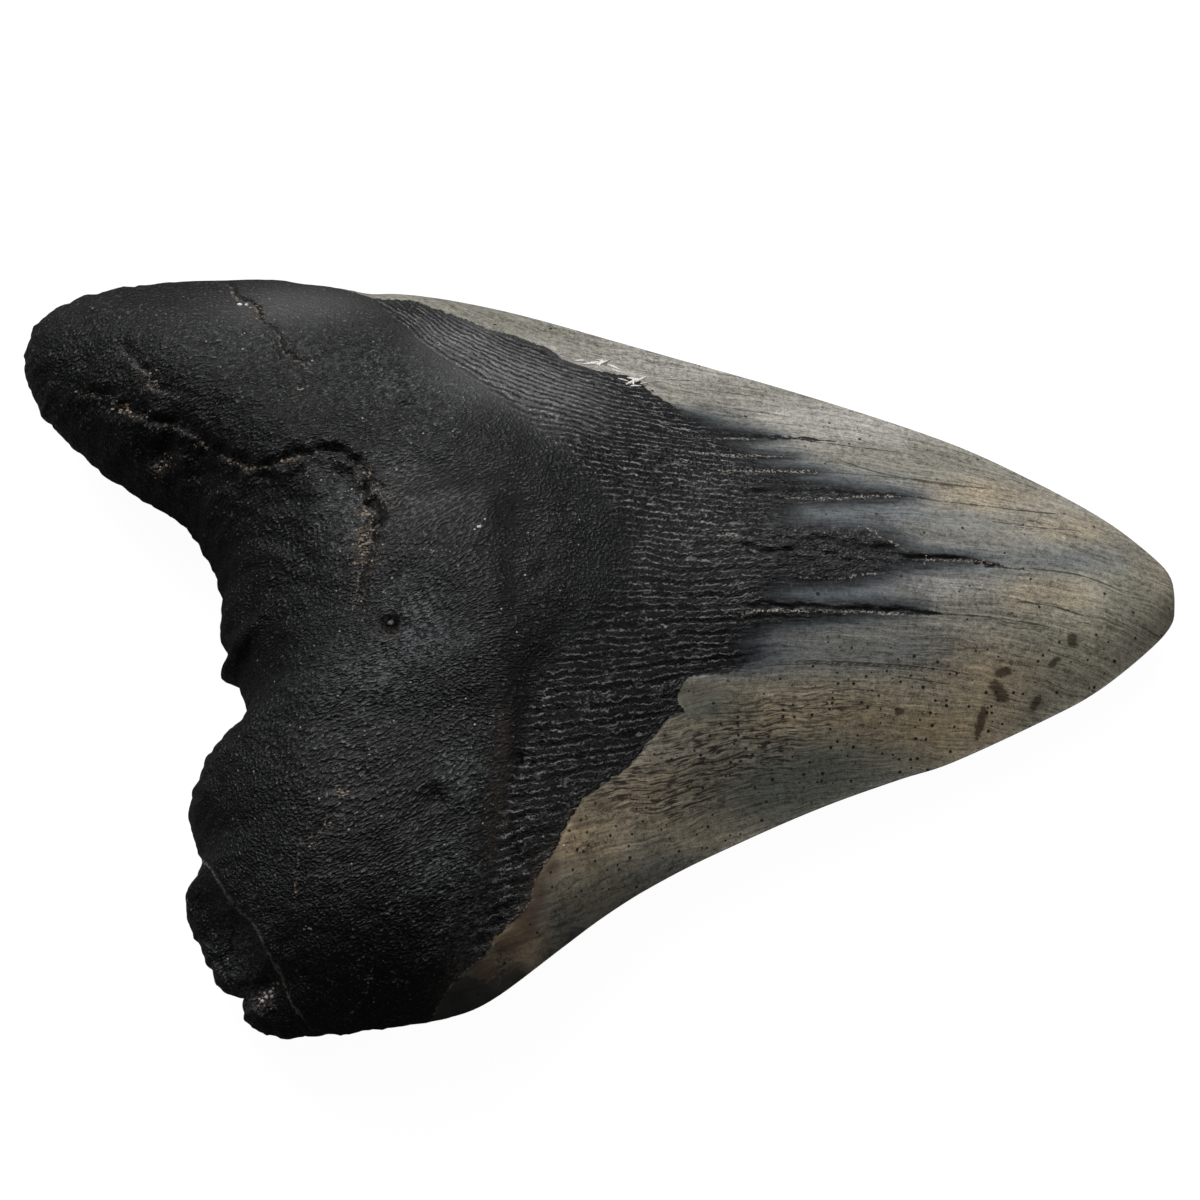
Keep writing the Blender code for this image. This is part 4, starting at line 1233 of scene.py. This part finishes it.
def crown_colour(n, colours, mm, grain):
    """Enamel: taupe with stains, speckle, streaks and pores."""
    speckle = n.group("speckle", Place=mm, Coarse=1.7, Fine=4.6)
    cloud = n.sway(mm, 0.16, 2.0, 0.6)
    colour = rgba(colours.enamel)
    for name, blur in (("pale", 0.5), ("blue", 0.7), ("olive", 0.5), ("brown", 0.7), ("green", 0.5)):
        stain = n.field(name)
        share = n.times(n.plus(stain, n.times(cloud, 0.5)), n.ramp(stain, 0.02, 0.25))
        share = n.plus(share, n.times(speckle, blur, stain), clamp=True)
        colour = n.paint(colour, share, getattr(colours, name))
    for reach, tint, strength in (((0.2, 2.4), colours.blue, 0.8), ((0.0, 1.7), SMOKE, 0.75)):
        beside = n.times(n.ramp(n.field("black_side"), *reach, 1.0, 0.0), n.field("soft_black"))
        colour = n.paint(colour, beside, tint, strength)
    streaks = n.sway(n.scaled(grain, 0.09, 1.9, 1), 1.0, 4.0, 0.75)
    fine_streaks = n.sway(n.scaled(grain, 0.35, 4.5, 1), 1.0, 3.0, 0.7)
    tone = n.plus(1.0, n.times(speckle, 1.4), n.times(streaks, 2.2), n.times(fine_streaks, 1.1),
                  n.times(cloud, 0.8))
    tone = n.most(tone, 0.25)
    tone = n.add("ShaderNodeCombineColor", Red=tone, Green=tone, Blue=tone).outputs[0]
    colour = n.blend(1.0, colour, tone, "MULTIPLY")
    for name, blur, low, high, tint, strength in (
            ("ruddy", 0.8, 0.25, 0.75, colours.ruddy, 0.75), ("tail", 0.7, 0.15, 0.7, TAIL_BLACK, 0.85),
            ("spot", 1.2, 0.25, 0.6, SPOT_BROWN, 0.85)):
        stain = n.field(name)
        share = n.ramp(n.plus(stain, n.times(speckle, blur)), low, high)
        colour = n.paint(colour, n.times(share, n.ramp(stain, 0.0, 0.3)), tint, strength)
    return n.paint(colour, crown_marks(n, mm, grain), PORE_BROWN)


def crown_marks(n, mm, grain):
    """One mask of the enamel's dark streaks, pores, drawn hairlines and curling hairs."""
    streaks = n.ramp(n.noise(n.scaled(grain, 0.16, 2.3, 1), 1.0, 3.0, 0.65), 0.5, 0.57)
    dashes = n.ramp(n.group("strokes", Place=grain, Along=0.55, Across=4.6), 0.51, 0.58)
    dark = n.times(n.most(n.times(streaks, 0.45), dashes), n.ramp(n.field("streaky"), 0.1, 0.8))
    distance, chosen, size = n.dots(mm, 1.6)
    pore = n.ramp(n.minus(n.times(size, 0.36), distance), -0.04, 0.04)
    amount = n.plus(0.05, n.times(n.field("porous"), 0.5))
    pore = n.times(pore, n.calc("LESS_THAN", chosen, amount))
    hairline = drawn(n, "hairline", mm, 0.085, 0.22, 0.36)
    hair = n.group("hair", Place=n.scaled(grain, 0.05, 0.62, 1), Scale=1.0, Width=0.011)
    hair = n.times(hair, n.ramp(n.noise(n.scaled(grain, 0.25, 1.0, 1), 0.6, 2.0, 0.6), 0.46, 0.6))
    return n.most(n.times(dark, 0.9), n.times(pore, 0.97), n.times(hairline, 0.8), n.times(hair, 0.6))


def black_colour(n, colours, mm, root, strokes):
    """Root and bourlette: near black with a leathery grain, grit, dust and sediment in the cracks."""
    worn = n.rest(n.times(n.field("smooth"), 0.85))
    rough, dusty = n.field("rough"), n.field("dusty")
    base = n.blend(root, rgba(colours.bourlette), rgba(colours.root))
    # Painted sheen: grey laid on the black where the key light reflects.
    base = n.paint(base, n.field("sheen"), SHEEN_GREY, 0.7)
    base = n.paint(base, n.field("ruddy"), RUDDY_BLACK, 0.8)
    # Painted glints: grey on the peaks of the strokes that the bump also raises, thicker in clusters and
    # in the patches of dust and sheen.
    clusters = n.ramp(n.noise(mm, 0.28, 3.0, 0.6), 0.36, 0.66, 0.25, 1.0)
    lift = n.plus(n.times(clusters, 0.045), n.times(dusty, 0.085))
    glints = n.times(n.ramp(n.plus(strokes, lift), 0.66, 0.76), worn,
                     n.rest(n.times(n.field("wrinkled"), 0.75)))
    base = n.paint(base, glints, colours.worn, 0.85)
    # Light grey mottling, partly dust and partly painted sheen.
    dust = n.times(n.ramp(n.noise(mm, 1.5, 4.0, 0.75), 0.47, 0.58), dusty)
    base = n.paint(base, dust, DUST_AND_SHEEN_GREY, 0.75)
    # In the rough patches: pale flake lines that curl, and painted glints on the peaks of the strokes.
    flakes_and_glints = n.group("hair", Place=n.scaled(mm, 1.2, 2.4, 2.4), Scale=1.0, Width=0.035)
    flakes_and_glints = n.times(n.most(flakes_and_glints, n.ramp(strokes, 0.6, 0.68)), rough)
    base = n.paint(base, rough, RUBBLE_BLACK, 0.6)
    base = n.paint(base, flakes_and_glints, FLAKE_AND_GLINT_GREY, 0.6)
    sand = n.times(n.ramp(n.noise(mm, 1.9, 3.0, 0.8), 0.49, 0.6), n.field("sandy"))
    base = n.paint(base, sand, [0.5 * c for c in colours.sediment], 0.75)
    # Grey and pale points, partly grit and partly painted glints of the light.
    amount = n.times(n.plus(0.04, n.times(clusters, 0.1)), worn)
    base = n.paint(base, n.group("grit", Place=mm, Scale=2.8, Amount=amount), GRIT_AND_GLINT_GREY, 0.5)
    return n.paint(base, n.group("grit", Place=mm, Scale=2.8, Amount=0.018), GRIT_AND_GLINT_PALE, 0.6)


def wrinkles(n, mm, grain, sizes):
    """The bourlette's ridges, painted shade in its grooves, and its crests painted grey, partly as wear
    and partly as painted highlight.
    """
    wrinkled = n.field("wrinkled")
    across = n.add("ShaderNodeSeparateXYZ", Vector=grain).outputs[1]
    waver = n.plus(n.times(n.sway(mm, 1.1, 3.0, 0.72), 0.85), n.times(n.noise(mm, 4.5, 0.0, 0.5), 0.22))
    turn = n.times(n.plus(across, waver), 2 * math.pi / (sizes.wrinkle_gap / MM))
    wave = n.calc("COSINE", turn)
    ridge = n.ramp(wave, 0.70, 0.97)
    # Painted shade: black laid in the grooves between the wrinkles.
    groove_shade = n.times(n.ramp(wave, 0.3, -0.8), wrinkled)
    kept = n.ramp(n.noise(n.scaled(grain, 0.9, 2.2, 1), 1.0, 3.0, 0.85), 0.44, 0.56)
    stronger = n.ramp(n.noise(mm, 0.3, 3.0, 0.65), 0.3, 0.6, 0.5, 1.0)
    bent = n.vector("ADD", n.scaled(grain, 0.34, 1.0, 1), n.scaled(n.drift(mm, 0.9, 2.0), 1.0, 1.0, 0.0))
    net = n.group("hair", Place=bent, Scale=1.1, Width=0.035)
    net = n.times(net, n.ramp(n.noise(n.scaled(grain, 0.5, 1.1, 1), 0.8, 3.0, 0.7), 0.5, 0.62))
    crest_wear_and_glint = n.times(n.most(n.times(ridge, kept, stronger), n.times(net, 0.5)), wrinkled)
    return n.times(ridge, wrinkled), groove_shade, crest_wear_and_glint


def fossil_material(colours, sizes):
    """Root, bourlette and enamel in one finish, told apart by what the mesh holds at each place."""
    material, n, shader = new_material("fossil")
    mm = in_millimetres(n)
    grain = n.add("ShaderNodeUVMap", {"uv_map": "grain"}).outputs[0]
    soft, away, rough = n.field("soft_black"), n.field("black_side"), n.field("rough")

    edge = n.sway(mm, 1.1, 4.0, 0.65)
    root = n.ramp(n.plus(n.field("root_side"), n.times(edge, 2.0)), 0.8, -0.8)
    feather = n.sway(n.scaled(grain, 0.12, 2.4, 1), 1.0, 4.0, 0.8)
    side = n.plus(away, n.times(edge, 1.1), n.times(feather, soft, 3.0))
    reach = n.plus(0.05, n.times(soft, 0.75))
    crown = n.ramp(side, n.times(reach, -1.0), reach)

    strokes = n.group("strokes", Place=n.shifted(mm, n.drift(mm, 0.05, 0.0), 9.0), Turn=-0.35, Along=2.1,
                      Across=3.6)
    ridge, groove_shade, crest_wear_and_glint = wrinkles(n, mm, grain, sizes)
    black = black_colour(n, colours, mm, root, strokes)
    # Painted shade in the grooves between the wrinkles; the crests painted grey as wear and painted
    # highlight, brighter within the painted sheen.
    black = n.paint(black, groove_shade, GROOVE_SHADE, 0.85)
    black = n.paint(black, n.times(crest_wear_and_glint, n.ramp(n.field("sheen"), 0.0, 1.0, 0.85, 1.0)), colours.crest_wear_and_glint)
    colour = n.blend(crown, black, crown_colour(n, colours, mm, grain))
    colour = n.paint(colour, drawn(n, "fissure", mm, 0.3, 0.9, 0.38), FISSURE_BLACK, 0.95)
    colour = n.paint(colour, drawn(n, "pale_line", mm, 0.16, 1.0, 0.54, Bits=4.0), PALE_CRUMBS, 0.8)
    # Painted shade: near black along the root's cracks.
    colour = n.paint(colour, drawn(n, "crack", mm, 0.28, 1.1, 0.32), CRACK_SHADE)
    colour = n.paint(colour, drawn(n, "crack", mm, 0.14, 1.4, 0.56, shift=0.45), colours.sediment, 0.6)
    # Painted highlight: a pale line along the broken rim of the near lobe, where the light catches it.
    colour = n.paint(colour, drawn(n, "ledge", mm, 0.13, 0.6, 0.45), LEDGE_RIM_HIGHLIGHT, 0.75)
    rim = n.times(n.ramp(n.calc("ABSOLUTE", n.minus(side, 0.05)), 0.09, 0.02), n.rest(soft),
                  n.ramp(n.noise(mm, 1.1, 3.0, 0.6), 0.5, 0.6))
    n.put(shader.inputs["Base Color"], n.paint(colour, rim, colours.pale, 0.6))

    polish = n.between(crown, n.ramp(strokes, 0.42, 0.58, 0.60, 0.24), 0.42)
    polish = n.plus(polish, n.times(n.group("speckle", Place=mm, Coarse=1.7, Fine=4.6), 0.12))
    n.put(shader.inputs["Roughness"], n.plus(polish, n.times(rough, 0.15), clamp=True))

    calm = n.times(n.rest(n.times(n.field("smooth"), 0.8)), n.rest(n.times(n.field("wrinkled"), 0.5)))
    black_height = n.plus(n.times(strokes, calm, 0.36), n.times(n.noise(mm, 2.6, 2.0, 0.6), rough, 0.25),
                          n.times(ridge, 0.07))
    enamel_height = n.times(n.noise(n.scaled(grain, 0.3, 2.2, 1), 1.0, 2.0, 0.6), 0.07)
    enamelled = n.ramp(away, n.calc("MULTIPLY_ADD", soft, -1.8, -0.2), 0.2)
    height = n.between(enamelled, black_height, enamel_height)
    bumped = n.add("ShaderNodeBump", Height=height, Strength=1.0, Distance=MM)
    n.put(shader.inputs["Normal"], bumped.outputs[0])
    shader.inputs["Specular IOR Level"].default_value = 0.25
    return material


def crumb_material(name, colour, dirt, roughness):
    """Loose grains: one colour, dirtied unevenly."""
    material, n, shader = new_material(name)
    mm = in_millimetres(n)
    speckle = n.group("speckle", Place=mm, Coarse=0.7, Fine=4.0)
    share = n.ramp(n.plus(0.5, speckle), 0.35, 0.85)
    n.put(shader.inputs["Base Color"], n.paint(rgba(colour), share, dirt))
    n.put(shader.inputs["Roughness"], n.plus(roughness, n.times(speckle, 0.2), clamp=True))
    bumped = n.add("ShaderNodeBump", Height=n.noise(mm, 8.0, 3.0, 0.6), Strength=0.5, Distance=0.1 * MM)
    n.put(shader.inputs["Normal"], bumped.outputs[0])
    return material


def floor_material(glow):
    """A pale matt floor that gives off light only towards the camera, so that it stays white."""
    material, n, shader = new_material("pale_floor")
    place = n.add("ShaderNodeTexCoord").outputs["Object"]
    tone = n.ramp(n.noise(place, 30.0, 1.0, 0.6), 0.3, 0.7, 0.11, 0.13)
    tone = n.add("ShaderNodeCombineColor", Red=tone, Green=tone, Blue=tone).outputs[0]
    n.put(shader.inputs["Base Color"], tone)
    shader.inputs["Roughness"].default_value = 0.9
    shader.inputs["Specular IOR Level"].default_value = 0.1
    seen = n.add("ShaderNodeLightPath").outputs["Is Camera Ray"]
    shader.inputs["Emission Color"].default_value = (1, 1, 1, 1)
    n.put(shader.inputs["Emission Strength"], n.times(seen, glow))
    return material


class TOOTH_OT_surface(bpy.types.Operator):
    """Build the tooth itself: root, bourlette and enamel in one skin"""
    bl_idname = "tooth.surface"
    bl_label = "Build the tooth"

    def execute(self, context):
        scene = context.scene
        tooth = build_tooth(scene.tooth_sizes)
        finish_piece(tooth, fossil_material(scene.fossil_colours, scene.tooth_sizes), ["tooth"])
        return {"FINISHED"}


class TOOTH_OT_sediment(bpy.types.Operator):
    """Lay crumbs of tan sediment in the cracks"""
    bl_idname = "tooth.sediment"
    bl_label = "Lay the sediment"

    def execute(self, context):
        tooth = bpy.data.objects["fossil_tooth"]
        rng = random.Random(GRAINS_SEED)
        grains = []
        for (x0, y0), (x1, y1), count, scatter, size in GRAIN_PLACES:
            for _ in range(count):
                share = rng.random()
                x = x0 + share * (x1 - x0) + rng.gauss(0, scatter)
                y = y0 + share * (y1 - y0) + rng.gauss(0, scatter)
                at, normal = tooth_surface(tooth, x, y)
                grain = size * rng.uniform(*SEDIMENT_SIZES)
                grains.append(crumb(at, normal, grain, rng, SEDIMENT_FLATNESS))
        piece = join_all(grains, "sediment")
        colours = context.scene.fossil_colours
        finish_piece(piece, crumb_material("sediment", colours.sediment, SEDIMENT_DIRT, 0.85))
        return {"FINISHED"}


class TOOTH_OT_crystals(bpy.types.Operator):
    """Set the white mineral grains"""
    bl_idname = "tooth.crystals"
    bl_label = "Set the crystals"

    def execute(self, context):
        tooth = bpy.data.objects["fossil_tooth"]
        rng = random.Random(GRAINS_SEED + 1)
        grains = []
        for (x, y), size in CRYSTALS:
            at, normal = tooth_surface(tooth, x, y)
            grains.append(crumb(at, normal, size, rng, MINERAL_FLATNESS))
        piece = join_all(grains, "mineral_grains")
        colours = context.scene.fossil_colours
        finish_piece(piece, crumb_material("mineral", colours.mineral, MINERAL_DIRT, 0.35))
        return {"FINISHED"}


class TOOTH_OT_chips(bpy.types.Operator):
    """Add the white splinters at the edge of the enamel"""
    bl_idname = "tooth.chips"
    bl_label = "Add the splinters"

    def execute(self, context):
        tooth = bpy.data.objects["fossil_tooth"]
        splinters = []
        for (x0, y0), (x1, y1), thick in CHIPS:
            deselect()
            start, _ = tooth_surface(tooth, x0, y0)
            end, _ = tooth_surface(tooth, x1, y1)
            run = end - start
            bpy.ops.mesh.primitive_cone_add(
                vertices=6, radius1=thick * MM, radius2=thick * SPLINTER_POINT * MM, depth=run.length,
                location=(start + end) / 2 + SPLINTER_LIFT * MM * UP)
            splinter = bpy.context.object
            splinter.rotation_euler = UP.rotation_difference(run).to_euler()
            bpy.ops.object.mode_set(mode="EDIT")
            bpy.ops.mesh.select_all(action="SELECT")
            bpy.ops.mesh.subdivide(number_cuts=2, smoothness=0.3, fractal=0.4, seed=len(splinters))
            bpy.ops.object.mode_set(mode="OBJECT")
            splinters.append(splinter)
        piece = join_all(splinters, "enamel_splinters")
        colours = context.scene.fossil_colours
        finish_piece(piece, crumb_material("splinters", colours.mineral, SPLINTER_DIRT, 0.6))
        return {"FINISHED"}


class TOOTH_OT_studio(bpy.types.Operator):
    """Set the pale floor, the soft lights and the camera"""
    bl_idname = "tooth.studio"
    bl_label = "Set the studio"

    def execute(self, context):
        scene = context.scene
        lights = scene.studio_lights
        deselect()
        bpy.ops.mesh.primitive_plane_add(size=6)
        floor = bpy.context.object
        floor.name = "pale_floor"
        floor.data.materials.append(floor_material(lights.floor_glow))
        world = bpy.data.worlds.new("surround")
        world.use_nodes = True
        surround = world.node_tree.nodes["Background"].inputs
        surround["Color"].default_value = (1, 1, 1, 1)
        surround["Strength"].default_value = lights.surround
        scene.world = world
        for name, place, size, power, share in LIGHTS:
            soft_light(name, place, size, getattr(lights, power) * share)
        place_camera(scene)
        scene.view_settings.view_transform = "Standard"
        scene.view_settings.look = "None"
        return {"FINISHED"}


def soft_light(name, place, size, power):
    data = bpy.data.lights.new(name, "AREA")
    data.shape = "RECTANGLE"
    data.size, data.size_y = size
    data.energy = power
    light = bpy.data.objects.new(name, data)
    light.location = place
    light.rotation_euler = (-Vector(place)).to_track_quat("-Z", "Y").to_euler()
    bpy.context.scene.collection.objects.link(light)


def place_camera(scene):
    back = Vector((math.sin(CAMERA_TURN) * math.cos(CAMERA_HEIGHT_ANGLE),
                   -math.cos(CAMERA_TURN) * math.cos(CAMERA_HEIGHT_ANGLE), math.sin(CAMERA_HEIGHT_ANGLE)))
    data = bpy.data.cameras.new("camera")
    data.sensor_width = SENSOR
    data.lens = SENSOR / 2 * CAMERA_DISTANCE / HALF_VIEW
    data.clip_start, data.clip_end = 0.01, 20
    camera = bpy.data.objects.new("camera", data)
    camera.location = CAMERA_LOOKS_AT + back * CAMERA_DISTANCE
    camera.rotation_euler = (-back).to_track_quat("-Z", "Y").to_euler()
    scene.collection.objects.link(camera)
    scene.camera = camera


OPERATORS = (TOOTH_OT_surface, TOOTH_OT_sediment, TOOTH_OT_crystals, TOOTH_OT_chips, TOOTH_OT_studio)


class TOOTH_PT_panel(bpy.types.Panel):
    """Sizes, colours and pieces of the tooth"""
    bl_idname = "TOOTH_PT_panel"
    bl_label = "Megalodon tooth"
    bl_space_type = "VIEW_3D"
    bl_region_type = "UI"
    bl_category = "Tooth"

    def draw(self, context):
        for name in ("tooth_sizes", "fossil_colours", "studio_lights"):
            group = getattr(context.scene, name)
            box = self.layout.box()
            for key in group.bl_rna.properties.keys():
                if key not in ("rna_type", "name"):
                    box.prop(group, key)
        for operator in OPERATORS:
            self.layout.operator(operator.bl_idname)


CLASSES = (ToothSizes, FossilColours, StudioLights, *OPERATORS, TOOTH_PT_panel)


def register():
    for cls in CLASSES:
        bpy.utils.register_class(cls)
    bpy.types.Scene.tooth_sizes = PointerProperty(type=ToothSizes)
    bpy.types.Scene.fossil_colours = PointerProperty(type=FossilColours)
    bpy.types.Scene.studio_lights = PointerProperty(type=StudioLights)


def unregister():
    for name in ("tooth_sizes", "fossil_colours", "studio_lights"):
        delattr(bpy.types.Scene, name)
    for cls in reversed(CLASSES):
        bpy.utils.unregister_class(cls)


def main():
    register()
    for operator in OPERATORS:
        group, name = operator.bl_idname.split(".")
        getattr(getattr(bpy.ops, group), name)()


if __name__ == "__main__":
    main()
